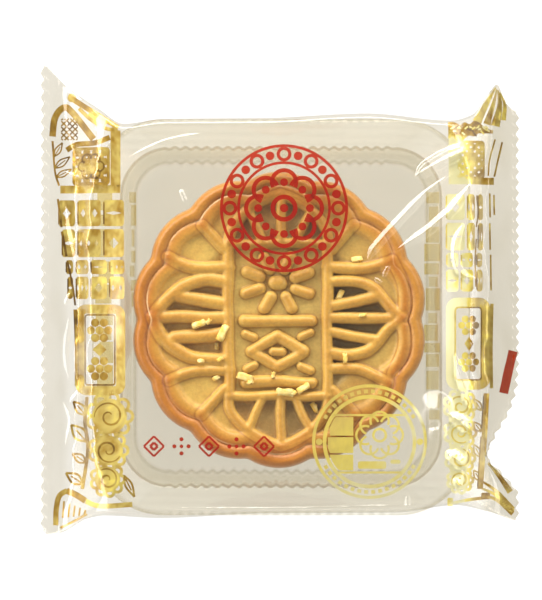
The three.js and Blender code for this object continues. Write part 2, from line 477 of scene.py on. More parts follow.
def relief(x, y):
    """Height of the moulded top over its deepest ground."""
    x, y = hand_pressed(x, y)
    e = inset(x, y)
    r = np.hypot(x, y)

    ground = mix(0.0, 0.45, ease(r, 15, 25))
    ground = mix(ground, np.where(x < 10, -0.3, -0.6), in_fan(x, y))
    ground = mix(ground, 0.35, in_panel(x, y))

    # The scallop's rim, a narrow groove, and the plump arch that slopes into the hollow.
    rim = 1.2 + 0.6 * np.sqrt(np.clip(1 - ((e - RIM_ROUND) / (RIM_WIDTH - RIM_ROUND)) ** 2, 0, 1))
    outside = 1.2 + 0.5 * np.sqrt(np.clip(1 - ((ARCH_LINE - e) / 1.6) ** 2, 0, 1))
    inside = mix(0.75, 1.7, np.sqrt(np.clip(1 - ((e - ARCH_LINE) / 1.75) ** 2, 0, 1)))
    inside = np.maximum(inside, mix(ground, 1.15, ease(e, 8.6, 5.2)))
    arch = np.where(e < ARCH_LINE, outside, inside)
    petals = np.where(e < RIM_WIDTH + 0.08, rim, arch)
    beyond = ease(r, 19.5, 22) * (1 - in_fan(x, y) * ease(e, 3.6, 4.4))
    height = mix(ground, petals, beyond)

    for points, half, tall in cake_strokes():
        away, _ = path_distance(x, y, curve(points, 1.0))
        t = away / half
        ridge = np.where(t < 1, tall * np.clip(1 - t**2, 0, 1) ** 0.4, -3 * (t - 1))
        height = blend_max(height, ridge)
    return height * DEPTH


def stroke_crest(x, y):
    """1 along the middle of every ridge of the moulding, fading to 0 at its foot."""
    crest = np.full(np.shape(x), -1.0)
    for points, half, _ in cake_strokes():
        away, _ = path_distance(x, y, curve(points, 1.0))
        crest = np.maximum(crest, 1 - away / half)
    return crest


def crust_top(x, y):
    """Height of the cake's top, with the unevenness of the bake."""
    swell = 0.16 * waver(x, y, 12, 5) + 0.05 * waver(x, y, 2.2, 6)
    return CAKE_TOP - RELIEF + relief(x, y) + swell


TOP_ROWS = 126
EDGE_ROWS = 8
WALL_ROWS = 9
FOOT_ROWS = 4
UNDER_ROWS = 3
CAKE_ROWS = TOP_ROWS + EDGE_ROWS + WALL_ROWS + FOOT_ROWS + UNDER_ROWS
CAKE_COLUMNS = 588


def cake_skin(u, v):
    """A point of the cake: u goes round it, v from the middle of the top to the middle below."""
    angle = 2 * math.pi * u
    row = v * CAKE_ROWS
    top = np.clip(row / TOP_ROWS, 0, 1)
    edge = np.clip((row - TOP_ROWS) / EDGE_ROWS, 0, 1)
    wall = np.clip((row - TOP_ROWS - EDGE_ROWS) / WALL_ROWS, 0, 1)
    foot = np.clip((row - TOP_ROWS - EDGE_ROWS - WALL_ROWS) / FOOT_ROWS, 0, 1)
    under = np.clip((row - CAKE_ROWS + UNDER_ROWS) / UNDER_ROWS, 0, 1)

    quarter = math.pi / 2
    radius = LOBE_RADIUS - RIM_ROUND * (1 - np.sin(quarter * edge))
    radius = radius + WALL_SWELL * np.sin(math.pi * wall) - FOOT_ROUND * (1 - np.cos(quarter * foot))
    reach = lobe_reach(angle, radius) * top * (1 - under)
    x = reach * np.cos(angle)
    y = reach * np.sin(angle)

    crest = lobe_reach(angle, LOBE_RADIUS - RIM_ROUND) * top
    z = crust_top(crest * np.cos(angle), crest * np.sin(angle))
    z = z - RIM_DROP * (1 - np.cos(quarter * edge))
    z = mix(z, CAKE_BASE + FOOT_ROUND, wall)
    z = z - FOOT_ROUND * np.sin(quarter * foot)
    return x + CAKE_CENTRE[0], y + CAKE_CENTRE[1], z


# --- The tray ------------------------------------------------------------------------------------

TRAY_MIDDLE = (TRAY_CENTRE[0], TRAY_CENTRE[1] - 0.25)  # of the rim, a little off the flange's
TRAY_WALL = 0.35
FLUTE_PITCH = 2.55
FLUTE_DEPTH = 0.27
FLUTES_FADE = (-1.8, 1.2)  # start of a corner to where the flutes begin and are whole
RIM_HALF = (38.1, 40.25)
# The dark lines along the bends are painted shade.
BEND_CORNER = 11.3  # corner radius of the dark lines along the bends
CORNER_COLUMNS = 16
FLUTED_COLUMNS = 168
PLAIN_COLUMNS = 36

# From the flange's edge to the floor: (inset from the rim, height, corner radius, part of the fluting,
# how much painted shade the sheet carries there: dark lines along the bends, where refraction darkens them seen
# edge-on, and on the floor the cake's shade and warm bounce).
TRAY_SECTION = [
    (-7.3, 20.9, 17.0, 0.0, 0.4), (-7.3, 21.6, 17.0, 0.0, 0.4), (-7.1, 22.1, 17.0, 0.0, 0.2),
    (-6.6, 22.4, 16.6, 0.0, 0.0), (-5.5, 22.45, 15.8, 0.0, 0.0), (-3.4, 22.45, 14.0, 0.0, 0.0),
    (-1.6, 22.45, 12.6, 0.1, 0.0), (-0.9, 22.4, 12.0, 0.6, 0.0), (-0.45, 22.2, 11.7, 1.0, 0.0),
    (-0.2, 21.8, 11.4, 1.0, 1.0), (0.0, 21.2, 11.1, 1.0, 0.8), (0.2, 20.4, 11.0, 1.0, 0.0),
    (0.9, 15.5, 10.6, 0.8, 0.08), (1.6, 9.0, 10.2, 0.7, 0.08), (2.3, 4.0, 9.8, 0.7, 0.08),
    (2.6, 2.4, 9.5, 0.7, 0.15), (2.85, 1.7, 9.3, 0.7, 0.8), (3.1, 1.35, 8.8, 0.5, 0.35),
    (3.6, 1.12, 8.4, 0.3, 0.12), (5.2, 1.05, 7.8, 0.1, 0.12), (8.0, 1.05, 6.0, 0.0, 0.12),
    (22.0, 1.05, 3.0, 0.0, 0.12), (36.0, 1.05, 1.0, 0.0, 0.12),
]
TRAY_ROWS = 2 * (len(TRAY_SECTION) - 1)


def tray_walk(u):
    """Round the tray: the side factors of each corner's centre and the direction out of it."""
    steps = [PLAIN_COLUMNS, CORNER_COLUMNS, FLUTED_COLUMNS, CORNER_COLUMNS] * 2
    stops = np.concatenate([[0], np.cumsum(steps)]) / sum(steps)
    quarter = math.pi / 2
    side_x = np.interp(u, stops, [1, 1, 1, -1, -1, -1, -1, 1, 1])
    side_y = np.interp(u, stops, [-1, 1, 1, 1, 1, -1, -1, -1, -1])
    turn = np.interp(u, stops, quarter * np.array([0, 0, 1, 1, 2, 2, 3, 3, 4]))
    return side_x, side_y, turn


def tray_skin(u, v):
    """A point of the tray's upper face: u goes round it, v from the flange's edge to the floor's middle."""
    side_x, side_y, turn = tray_walk(u)
    inset_in, height, corner, flute, _ = np.array(TRAY_SECTION).T
    run = np.arange(len(inset_in))
    at = v * run[-1]
    inward = np.interp(at, run, inset_in)
    z = np.interp(at, run, height)
    radius = np.interp(at, run, corner)
    part = np.interp(at, run, flute)
    half_x = RIM_HALF[0] - inward
    half_y = np.maximum(RIM_HALF[1] - inward, 0.01)
    radius = np.minimum(radius, np.minimum(half_x, half_y))
    x = side_x * (half_x - radius) + radius * np.cos(turn)
    y = side_y * (half_y - radius) + radius * np.sin(turn)
    straight = ease(half_x - radius - np.abs(x), *FLUTES_FADE) * np.abs(np.sin(turn)) ** 8
    y = y + FLUTE_DEPTH * part * straight * np.cos(2 * math.pi * x / FLUTE_PITCH) * np.sign(y)
    return x + TRAY_MIDDLE[0], y + TRAY_MIDDLE[1], z


# --- Colours and nodes ---------------------------------------------------------------------------


def linear(code):
    """The linear colour of an sRGB hex value."""
    parts = [int(code[i : i + 2], 16) / 255 for i in (1, 3, 5)]
    return tuple(c / 12.92 if c <= 0.04045 else ((c + 0.055) / 1.055) ** 2.4 for c in parts)


def opaque(colour):
    """A colour, or a grey given as one number, with full alpha."""
    return (*np.broadcast_to(colour, 3).tolist(), 1.0)


def scale_of(size):
    """The texture scale whose features are about this many millimetres wide."""
    return 1 / (size * MM)


def add(tree, kind, inputs=(), stops=(), **settings):
    """Adds one shader node, with its own settings and, for a ramp, its (place, colour) stops in order.

    `inputs` gives sockets, by name or in order, a value, a node's output, or a node for its first output.
    """
    made = tree.nodes.new("ShaderNode" + kind)
    for name, value in settings.items():
        setattr(made, name, value)
    if stops:
        elements = made.color_ramp.elements
        elements[0].position = stops[0][0]
        elements[1].position = stops[-1][0]
        for place, _ in stops[1:-1]:
            elements.new(place)
        for element, (_, value) in zip(elements, stops):
            element.color = opaque(value)
    given = inputs.items() if isinstance(inputs, dict) else enumerate(inputs)
    for socket, value in given:
        if isinstance(value, bpy.types.Node):
            value = next(output for output in value.outputs if output.enabled)
        if isinstance(value, bpy.types.NodeSocket):
            tree.links.new(value, made.inputs[socket])
        elif made.inputs[socket].type == "RGBA":
            made.inputs[socket].default_value = opaque(value)
        else:
            made.inputs[socket].default_value = value
    return made


# A Mix node's sockets and settings for colours: a part of the way from one colour to another.
PART, FROM, TO = 0, 6, 7
MIX = {"data_type": "RGBA"}
MULTIPLY = {"data_type": "RGBA", "blend_type": "MULTIPLY"}


def new_material(name):
    """An empty node material, its node tree, and the coordinates of the piece that wears it."""
    material = bpy.data.materials.new(name)
    material.use_nodes = True
    tree = material.node_tree
    tree.nodes.clear()
    return material, tree, add(tree, "TexCoord").outputs["Object"]


# --- Settings a user would change ----------------------------------------------------------------


class MooncakeCakeSettings(bpy.types.PropertyGroup):
    """The cake's crust."""

    golden: FloatVectorProperty(
        name="Ridge colour", description="Crust on the raised bars", subtype="COLOR",
        default=linear("#D6AA4E"),
    )
    browned: FloatVectorProperty(
        name="Rim colour", description="Crust on the browner scalloped rim", subtype="COLOR",
        default=linear("#B87322"),
    )
    hollow: FloatVectorProperty(
        name="Hollow colour", description="Crust in the shallow hollows", subtype="COLOR",
        default=linear("#DABB6B"),
    )
    gap: FloatVectorProperty(
        name="Gap colour", description="Crust in the deepest gaps", subtype="COLOR",
        default=linear("#C9A86A"),
    )
    bump: FloatProperty(
        name="Crust grain", description="Depth of the fine grain", unit="LENGTH", default=0.00008
    )


class MooncakeFilmSettings(bpy.types.PropertyGroup):
    """The film and the tray."""

    film_tint: FloatVectorProperty(
        name="Film tint", description="What one layer of film lets through", subtype="COLOR",
        default=(0.934, 0.919, 0.88),
    )
    tray_tint: FloatVectorProperty(
        name="Tray tint", description="What one face of the tray lets through", subtype="COLOR",
        default=(1.0, 0.99, 0.95),
    )


class MooncakePrintSettings(bpy.types.PropertyGroup):
    """The prints on the film."""

    gold: FloatVectorProperty(
        name="Gold", description="Metallic ink of the bands and the seal", subtype="COLOR",
        default=linear("#DCC56C"),
    )
    red: FloatVectorProperty(
        name="Red", description="Red ink", subtype="COLOR", default=linear("#9C1200")
    )


class MooncakeStageSettings(bpy.types.PropertyGroup):
    """Light, floor and camera."""

    floor_colour: FloatVectorProperty(
        name="Floor", description="Plain pale floor", subtype="COLOR", default=(0.93, 0.93, 0.925)
    )
    floor_glow: FloatProperty(name="Floor glow", description="Brightness of the lit floor", default=0.95)
    window_power: FloatProperty(name="Window", description="Power of the window lamp", default=0.575)
    band_power: FloatProperty(
        name="Low band", description="Brightness of the low band of windows", default=9.5
    )


SETTINGS = {
    "mooncake_cake": MooncakeCakeSettings,
    "mooncake_film": MooncakeFilmSettings,
    "mooncake_print": MooncakePrintSettings,
    "mooncake_stage": MooncakeStageSettings,
}


# --- Materials -----------------------------------------------------------------------------------

# The colour clear sheet is dimmed towards: painted shade on the tray, haze on the film.
PAINTED_SHADE_AND_HAZE_TINT = (0.74, 0.70, 0.60)  # what a bend in clear sheet lets through


def clear_sheet(name, tint, edge_power, gloss, ripple, ripple_height):
    """A clear sheet: straight-through tint, darker where it is seen edge-on, under a clean gloss.

    Where the mesh carries `bend`, the sheet is dimmed: on the tray as painted dark lines along its bends and
    painted shade on its floor, on the film as its duller seals, crumples, lines and haze.
    """
    material, tree, spot = new_material(name)
    ripples = add(tree, "TexNoise", {"Vector": spot, "Scale": scale_of(ripple), "Detail": 2.0})
    bump = add(tree, "Bump", {"Height": ripples, "Distance": ripple_height, "Strength": 1.0})
    facing = add(tree, "LayerWeight", {"Blend": 0.5, "Normal": bump}).outputs["Facing"]
    grazing = add(tree, "Math", [facing, 5.0], operation="POWER")
    shine = add(tree, "Math", [grazing, 0.55, gloss], operation="MULTIPLY_ADD", use_clamp=True)
    steep = add(tree, "Math", [facing, 2.5], operation="POWER")
    colour = add(tree, "Mix", {PART: steep, FROM: tint, TO: [c**edge_power for c in tint]}, **MIX)
    # Painted shade on the tray and haze on the film: the mesh's `bend` dims the tint.
    bend = add(tree, "Attribute", attribute_name="bend").outputs["Fac"]
    colour = add(tree, "Mix", {PART: bend, FROM: colour, TO: PAINTED_SHADE_AND_HAZE_TINT}, **MIX)
    clear = add(tree, "BsdfTransparent", {"Color": colour})
    gleam = add(tree, "BsdfAnisotropic", {"Roughness": 0.05, "Normal": bump})
    both = add(tree, "MixShader", [shine, clear, gleam])
    add(tree, "OutputMaterial", {"Surface": both})
    return material


def baked_crust(settings):
    """Syrup-dough crust, egg-glazed and baked: satin, golden on the bars, browner at the rim."""
    material, tree, spot = new_material("baked_crust")
    height, rim, deep, crest, inward = [
        add(tree, "Attribute", attribute_name=name).outputs["Fac"]
        for name in ("relief", "rim", "gap", "crest", "inset")
    ]
    patches, blotches, specks, grain = [
        add(tree, "TexNoise", {"Vector": spot, "Scale": scale_of(size), "Detail": detail})
        for size, detail in ((11.111, 3.0), (3.0303, 4.0), (0.71429, 2.0), (0.45455, 4.0))
    ]

    # The hollows and gaps are greyer and darker on the right.
    side = add(tree, "SeparateXYZ", [spot])
    on_left = add(tree, "MapRange", [side, -5 * MM, 14 * MM, 1.0, 0.25])
    hollow = add(tree, "Mix", {PART: on_left, FROM: linear("#B89F60"), TO: settings.hollow}, **MIX)
    gap = add(tree, "Mix", {PART: on_left, FROM: linear("#857753"), TO: settings.gap}, **MIX)
    low = add(tree, "Mix", {PART: deep, FROM: hollow, TO: gap}, **MIX)
    risen = add(tree, "MapRange", [height, 0.25, 0.75])
    colour = add(tree, "Mix", {PART: risen, FROM: low, TO: settings.golden}, **MIX)

    # The rim, the crown of each bar and patches here and there are browner, but not the gaps; the rim's
    # attribute also carries painted shade on its front left.
    browner = add(tree, "Math", [patches, 0.75, -0.38], operation="MULTIPLY_ADD")
    browner = add(tree, "Math", [browner, rim], operation="ADD", use_clamp=True)
    crown = add(tree, "MapRange", [crest, 0.35, 0.9, 0.0, 0.3])
    browner = add(tree, "Math", [browner, crown], operation="ADD", use_clamp=True)
    out_of_gap = add(tree, "Math", [deep, -0.7, 1.0], operation="MULTIPLY_ADD")
    out_of_gap = add(tree, "Math", [risen, out_of_gap], operation="MAXIMUM")
    browner = add(tree, "Math", [browner, out_of_gap], operation="MULTIPLY")
    colour = add(tree, "Mix", {PART: browner, FROM: colour, TO: settings.browned}, **MIX)

    # Painted shade darkens the foot of each bar, a little less in the gaps.
    from_foot = add(tree, "MapRange", [crest, -1.0, 1.0])
    stops = ((0.34, 1.0), (0.43, (0.86, 0.80, 0.72)), (0.50, (0.68, 0.55, 0.42)), (0.59, 1.0))
    foot_painted_shade = add(tree, "ValToRGB", [from_foot], stops)
    shallow = add(tree, "Math", [deep, -0.25, 1.0], operation="MULTIPLY_ADD")
    colour = add(tree, "Mix", {PART: shallow, FROM: colour, TO: foot_painted_shade}, **MULTIPLY)

    # The rim's groove: a soft line of painted shade, with a broken painted glaze highlight on its inner side,
    # strongest on the left.
    across = add(tree, "MapRange", [inward, 2.4, 4.4])
    stops = ((0.05, 1.0), (0.24, (0.90, 0.84, 0.78)), (0.36, 1.0), (0.95, 1.0))
    groove_painted_shade = add(tree, "ValToRGB", [across], stops)
    colour = add(tree, "Mix", {PART: 1.0, FROM: colour, TO: groove_painted_shade}, **MULTIPLY)
    lip = add(tree, "ValToRGB", [across], ((0.27, 0.0), (0.39, 1.0), (0.52, 0.0)))
    broken = add(tree, "MapRange", [patches, 0.42, 0.56, 0.1, 0.85])
    lip = add(tree, "Math", [lip, broken], operation="MULTIPLY")
    lip = add(tree, "Math", [lip, on_left], operation="MULTIPLY")
    colour = add(tree, "Mix", {PART: lip, FROM: colour, TO: linear("#F2D2A6")}, **MIX)

    # Specks and warmer blotches lie all over it.
    speckled = add(tree, "MapRange", [specks, 0.3, 0.7, 0.89, 1.07])
    warmer = add(tree, "ValToRGB", [blotches], ((0.32, (0.99, 1.0, 0.92)), (0.7, (0.88, 0.82, 0.7))))
    for change in (speckled, warmer):
        colour = add(tree, "Mix", {PART: 1.0, FROM: colour, TO: change}, **MULTIPLY)

    bump = add(tree, "Bump", {"Height": grain, "Distance": settings.bump, "Strength": 1.0})
    shader = add(tree, "BsdfPrincipled", {
        "Base Color": colour, "Roughness": 0.42, "IOR": 1.45, "Coat Weight": 0.25, "Coat Roughness": 0.25,
        "Normal": bump,
    })
    add(tree, "OutputMaterial", {"Surface": shader})
    return material


def crumb_material():
    """Dry flakes of pale crust: matt and straw-yellow."""
    material, tree, spot = new_material("dry_crust_crumb")
    patches = add(tree, "TexNoise", {"Vector": spot, "Scale": scale_of(1.4286), "Detail": 3.0})
    colour = add(tree, "ValToRGB", [patches], ((0.35, linear("#F0C552")), (0.65, linear("#FFEBA0"))))
    shader = add(tree, "BsdfPrincipled", {"Base Color": colour, "Roughness": 0.6})
    add(tree, "OutputMaterial", {"Surface": shader})
    return material


def gold_ink(settings, cover):
    """Metallic gold ink on film: a soft metal sheen, a little uneven, with painted glare, highlights and dark
    reflections from its tone. `cover` is how solid the ink is.
    """
    material, tree, spot = new_material("metallic_gold_ink")
    tone = add(tree, "Attribute", attribute_name="tone").outputs["Fac"]
    dark, deep, pale, glare = [linear(code) for code in ("#6E4E0C", "#B48E2A", "#FFEC70", "#FFFAC4")]
    stops = ((0.0, dark), (0.28, deep), (0.52, settings.gold), (0.78, pale), (1.0, glare))
    # Painted reflection: the tone takes the ink from dark reflections through its own gold to painted glare.
    colour = add(tree, "ValToRGB", [tone], stops)
    patches = add(tree, "TexNoise", {"Vector": spot, "Scale": scale_of(6.25), "Detail": 3.0})
    thin = add(tree, "MapRange", [patches, 0.0, 1.0, 0.86, 1.02])
    colour = add(tree, "Mix", {PART: 1.0, FROM: colour, TO: thin}, **MULTIPLY)
    metal = add(tree, "BsdfPrincipled", {"Base Color": colour, "Metallic": 0.4, "Roughness": 0.36})
    clear = add(tree, "BsdfTransparent", {"Color": (0.96, 0.86, 0.47)})
    both = add(tree, "MixShader", [cover, clear, metal])
    add(tree, "OutputMaterial", {"Surface": both})
    return material


def red_ink(settings):
    """Red printing ink: thin enough for a little of what is under it to show."""
    material, tree, spot = new_material("red_ink")
    patches = add(tree, "TexNoise", {"Vector": spot, "Scale": scale_of(3.8462), "Detail": 2.0})
    thin = add(tree, "MapRange", [patches, 0.0, 1.0, 0.9, 1.08])
    colour = add(tree, "Mix", {PART: 1.0, FROM: settings.red, TO: thin}, **MULTIPLY)
    ink = add(tree, "BsdfDiffuse", {"Color": colour})
    clear = add(tree, "BsdfTransparent", {"Color": (1.0, 0.35, 0.12)})
    both = add(tree, "MixShader", [0.16, ink, clear])
    add(tree, "OutputMaterial", {"Surface": both})
    return material


# --- Mesh helpers --------------------------------------------------------------------------------

PIECE_WELD = 0.004  # points of a piece that lie closer than this are merged
PRINT_WELD = 0.002


def spots_of(mesh):
    """The mesh's vertices as an array, in the mesh's own units."""
    flat = np.empty(len(mesh.vertices) * 3)
    mesh.vertices.foreach_get("co", flat)
    return flat.reshape(-1, 3)


def put(mesh, places):
    """Puts the mesh's vertices at x, y and z in millimetres."""
    mesh.vertices.foreach_set("co", (np.column_stack(places) * MM).ravel())


def carry(mesh, name, values):
    """Has the mesh carry a value for each vertex under a name."""
    mesh.attributes.new(name, "FLOAT", "POINT").data.foreach_set("value", values)


def mesh_from(name, bm):
    """A new mesh made of the bmesh."""
    mesh = bpy.data.meshes.new(name)
    bm.to_mesh(mesh)
    bm.free()
    return mesh


def rework(mesh, work):
    """Lets `work` change the mesh as a bmesh, and shades it smooth."""
    bm = bmesh.new()
    bm.from_mesh(mesh)
    work(bm)
    bm.to_mesh(mesh)
    bm.free()
    mesh.shade_smooth()


def close_up(bm):
    """Welds seams and poles, and turns all faces outwards."""
    bmesh.ops.remove_doubles(bm, verts=bm.verts, dist=PIECE_WELD * MM)
    bmesh.ops.dissolve_degenerate(bm, edges=bm.edges, dist=PIECE_WELD * MM)
    bmesh.ops.recalc_face_normals(bm, faces=bm.faces)


def settle(name, bm, place=None):
    """Makes a closed mesh of a bmesh. `place` turns its grid's (u, v) into millimetres."""
    mesh = mesh_from(name, bm)
    if place is not None:
        u, v, _ = spots_of(mesh).T + 0.5
        put(mesh, place(u, v))
    rework(mesh, close_up)
    return mesh


def new_object(name, data):
    """A new object in the scene."""
    made = bpy.data.objects.new(name, data)
    bpy.context.scene.collection.objects.link(made)
    return made


def show(mesh, material):
    """Adds the mesh as a piece that rides on the pack, wearing the given material."""
    piece = new_object(mesh.name, mesh)
    mesh.materials.append(material)
    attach(piece, "root")
    return piece


def grid(across, along):
    """A bmesh grid of across by along faces, one unit wide."""
    bm = bmesh.new()
    bmesh.ops.create_grid(bm, x_segments=across, y_segments=along, size=0.5)
    return bm


# --- Prints --------------------------------------------------------------------------------------

LINE_STEP = 0.45  # length of the faces along a printed line
PRINT_LANE = 0.6  # width of the faces across it
FIELD_ROW = 0.7  # height of the faces of a field


def polar(centre, reach, turn):
    """The place at a distance and an angle from a centre."""
    return centre[0] + reach * np.cos(turn), centre[1] + reach * np.sin(turn)


def strip(bm, path, widths, across, tone):
    """Adds a flat strip of `across` lanes along a path of (x, y) points, as wide as told at each point.

    In a flat print, z holds `tone`: how much brighter or darker than usual the ink looks there, as painted
    reflection on metal ink.
    """
    path = np.array(path, float)
    half_widths = np.broadcast_to(widths, len(path)) / 2
    ahead = np.gradient(path, axis=0)
    if np.allclose(path[0], path[-1]):
        ahead[0] = ahead[-1] = path[1] - path[-2]
    ahead /= np.maximum(np.linalg.norm(ahead, axis=1), 1e-9)[:, None]
    left = np.column_stack([-ahead[:, 1], ahead[:, 0]])
    made = bmesh.ops.create_grid(bm, x_segments=len(path) - 1, y_segments=across, size=0.5)["verts"]
    for vert in made:
        i = round((vert.co.x + 0.5) * (len(path) - 1))
        x, y = path[i] + left[i] * half_widths[i] * vert.co.y * 2
        vert.co = (x, y, tone)


def field(bm, x, low, high, tone=0.0):
    """Adds a flat field between a lower and an upper edge, given at each x."""
    rows = max(1, round(float(np.max(high - low)) / FIELD_ROW))
    made = bmesh.ops.create_grid(bm, x_segments=len(x) - 1, y_segments=rows, size=0.5)["verts"]
    for vert in made:
        i = round((vert.co.x + 0.5) * (len(x) - 1))
        vert.co = (x[i], mix(low[i], high[i], vert.co.y + 0.5), tone)


def lanes(width):
    """How many lanes of faces a line of this width has."""
    return max(1, round(width / PRINT_LANE))


def line(bm, points, width, tone=0.0):
    """A printed line of one width through points, curved where there are more than two."""
    strip(bm, curve(points, LINE_STEP), width, lanes(width), tone)


def wedge(bm, points, start, end, tone=0.0):
    """A printed stroke whose width changes along its way."""
    path = curve(points, LINE_STEP)
    strip(bm, path, np.linspace(start, end, len(path)), 2, tone)


def arc(bm, centre, radius, start, end, width, tone=0.0):
    """Part of a printed ring, from one angle to another in degrees."""
    count = max(6, int(abs(math.radians(end - start)) * radius / LINE_STEP))
    turn = np.radians(np.linspace(start, end, count + 1))
    strip(bm, np.column_stack(polar(centre, radius, turn)), width, lanes(width), tone)


def ring(bm, centre, radius, width, tone=0.0):
    """A whole printed ring."""
    arc(bm, centre, radius, 0, 360, width, tone)


def rounded_reach(x, half_x, half_y, corner):
    """How far a plate with rounded corners reaches up and down from its middle, at each x."""
    past = np.maximum(np.abs(x) - (half_x - corner), 0)
    return half_y - corner + np.sqrt(np.maximum(corner**2 - past**2, 0))


def plate(bm, centre, half_x, half_y, corner, tone=0.0):
    """A printed plate with rounded corners."""
    corner = min(corner, half_x, half_y)
    bend = corner * (1 - np.cos(np.linspace(0, math.pi / 2, 6)))
    count = max(2, int(2 * (half_x - corner) / LINE_STEP) + 1)
    straight = np.linspace(-half_x + corner, half_x - corner, count)
    x = np.unique(np.round(np.concatenate([-half_x + bend, straight, half_x - bend]), 5))
    reach = np.maximum(rounded_reach(x, half_x, half_y, corner), 0.001)
    field(bm, centre[0] + x, centre[1] - reach, centre[1] + reach, tone)


def dot(bm, centre, radius, tone=0.0):
    """A printed dot."""
    plate(bm, centre, radius, radius, radius, tone)


def frame_line(bm, centre, half_x, half_y, corner, width, tone=0.0):
    """A printed frame with rounded corners, measured to the middle of its line."""
    path = []
    for turn, (sx, sy) in zip((0, 90, 180, 270), ((1, 1), (-1, 1), (-1, -1), (1, -1))):
        middle = (centre[0] + sx * (half_x - corner), centre[1] + sy * (half_y - corner))
        path.extend(zip(*polar(middle, corner, np.radians(np.linspace(turn, turn + 90, 7)))))
    path.append(path[0])
    whole = []
    for a, b in zip(path, path[1:]):
        count = max(1, int(math.dist(a, b) / 0.5))
        whole.extend(mix(np.array(a), np.array(b), k / count) for k in range(count))
    whole.append(path[0])
    strip(bm, whole, width, lanes(width), tone)


# The tiles' kinds: (holes in a row, half a hole's width in parts of their pitch, its height in parts of half
# the tile's).
TILE_KINDS = [(1, 0.22, 0.42), (2, 0.2, 0.36), (1, 0.4, 0.14), (3, 0.16, 0.3)]
TILE_CORNER = 0.7


def tile(bm, fine, left, right, top, bottom, kind):
    """A rounded block with lozenges cut out of it, and a line of painted dark reflection down its left edge in
    `fine`.
    """
    holes, wide, tall = TILE_KINDS[kind]
    middle_x, half_x = (left + right) / 2, (right - left) / 2
    middle_y, half_y = (top + bottom) / 2, (top - bottom) / 2
    corner = min(TILE_CORNER, half_x, half_y)
    x = np.linspace(-half_x, half_x, max(9, int(2 * half_x / 0.24)))
    reach = rounded_reach(x, half_x, half_y, corner)
    cut = np.zeros(len(x))
    pitch = 2 * half_x / holes
    for k in range(holes):
        from_hole = np.abs(x + half_x - (k + 0.5) * pitch)
        cut = np.maximum(cut, tall * half_y * (1 - from_hole / (wide * pitch)))
    field(bm, middle_x + x, middle_y + cut, middle_y + reach)
    field(bm, middle_x + x, middle_y - reach, middle_y - cut)
    line(fine, [(left + 0.15, bottom + 0.5), (left + 0.15, top - 0.5)], 0.35, -0.35)


def tile_rows(bm, fine, columns, rows, lean):
    """Rows of tiles. `lean` narrows the first column towards the front, per millimetre."""
    for i, (top, bottom) in enumerate(rows):
        for j, (left, right) in enumerate(columns):
            start = left + lean * (rows[0][0] - top) if j == 0 else left
            if right - start > 1.2:
                tile(bm, fine, start, right, top, bottom, (2 * i + j) % (4 if right - start > 3 else 3))


def scroll(bm, centre, radius, start, turns, width, tone=0.0):
    """A cloud scroll: a line that winds out from its middle."""
    t = np.linspace(0, 1, int(turns * 2 * math.pi * radius * 0.6 / 0.4))
    turn = math.radians(start) + 2 * math.pi * turns * t
    path = np.column_stack(polar(centre, radius * (0.16 + 0.84 * t), turn))
    strip(bm, path, width * (0.55 + 0.45 * np.sin(math.pi * t)), lanes(width), tone)


def blossom(bm, centre, reach, petal, count, width, tone=0.0):
    """A blossom outline: open arcs set round a middle."""
    for k in range(count):
        turn = 360 * k / count
        spot = polar(centre, reach, math.radians(turn))
        arc(bm, spot, petal, turn - 115, turn + 115, width, tone)


def leaf(bm, base, tip, half, width, tone=0.0):
    """A leaf outline from its base to its tip, with a vein."""
    base, tip = np.array(base, float), np.array(tip, float)
    out = (tip - base)[::-1] * (-1, 1)
    out = out / np.linalg.norm(out) * half
    for side in (-1, 1):
        line(bm, [base, mix(base, tip, 0.45) + side * out, tip], width, tone)
    line(bm, [base, mix(base, tip, 0.7)], width * 0.7, tone)


def posy(bm, centre, reach, radius, count, tone=0.0):
    """A ring of dots."""
    for k in range(count):
        dot(bm, polar(centre, reach, 2 * math.pi * k / count), radius, tone)


def lattice(bm, centre, half_x, half_y, pitch, width, tone=0.0):
    """A diagonal lattice clipped to a box."""
    count = int((half_x + half_y) / pitch)
    for k in range(-count, count + 1):
        for lean in (1, -1):
            first, last = [lean * (x - k * pitch) for x in (-half_x, half_x)]
            cuts = [(np.clip(y, -half_y, half_y) - first) / (last - first) for y in (first, last)]
            if cuts[1] - cuts[0] > 0.05:
                ends = [(centre[0] + mix(-half_x, half_x, t), centre[1] + mix(first, last, t)) for t in cuts]
                line(bm, ends, width, tone)


def ink_tone(x, y):
    """Painted reflection on metal ink: how bright it looks on the film as it lies, 0 dark to 1 glaring."""
    glare = 0.6 * ease(x, 37, 39) * ease(x, 47, 44) * ease(y, 39.8, 38.6)
    mild = 0.08 * ease(np.abs(x - 20), 20, 16) - 0.03 - 0.06 * ease(x, 0, -20)
    mild = mild + 0.12 * ease(x, 44, 46) * ease(y, 38, 40)
    # Painted highlight: the seal is brighter towards its front right, where the film lies over the bare tray.
    seal = ease(x, 7, 9) * ease(x, 36, 34) * ease(y, -20, -22)
    mild = mild + 0.3 * seal * ease(x - y, 38, 62)
    creased = mix(0.3, 1.0, ease(np.abs(x), 30, 36)) + 0.4 * ease(x, 37, 40) * ease(y, 38, 41)
    return 0.5 + glare + mild + creased * (0.26 * waver(x, y, 3.2, 21) + 0.2 * waver(x * 1.5, y, 1.1, 22))


def draw(bm, marks):
    """Adds marks given as (tool, tone, what the tool asks for)."""
    for tool, tone, *rest in marks:
        tool(bm, *rest, tone)


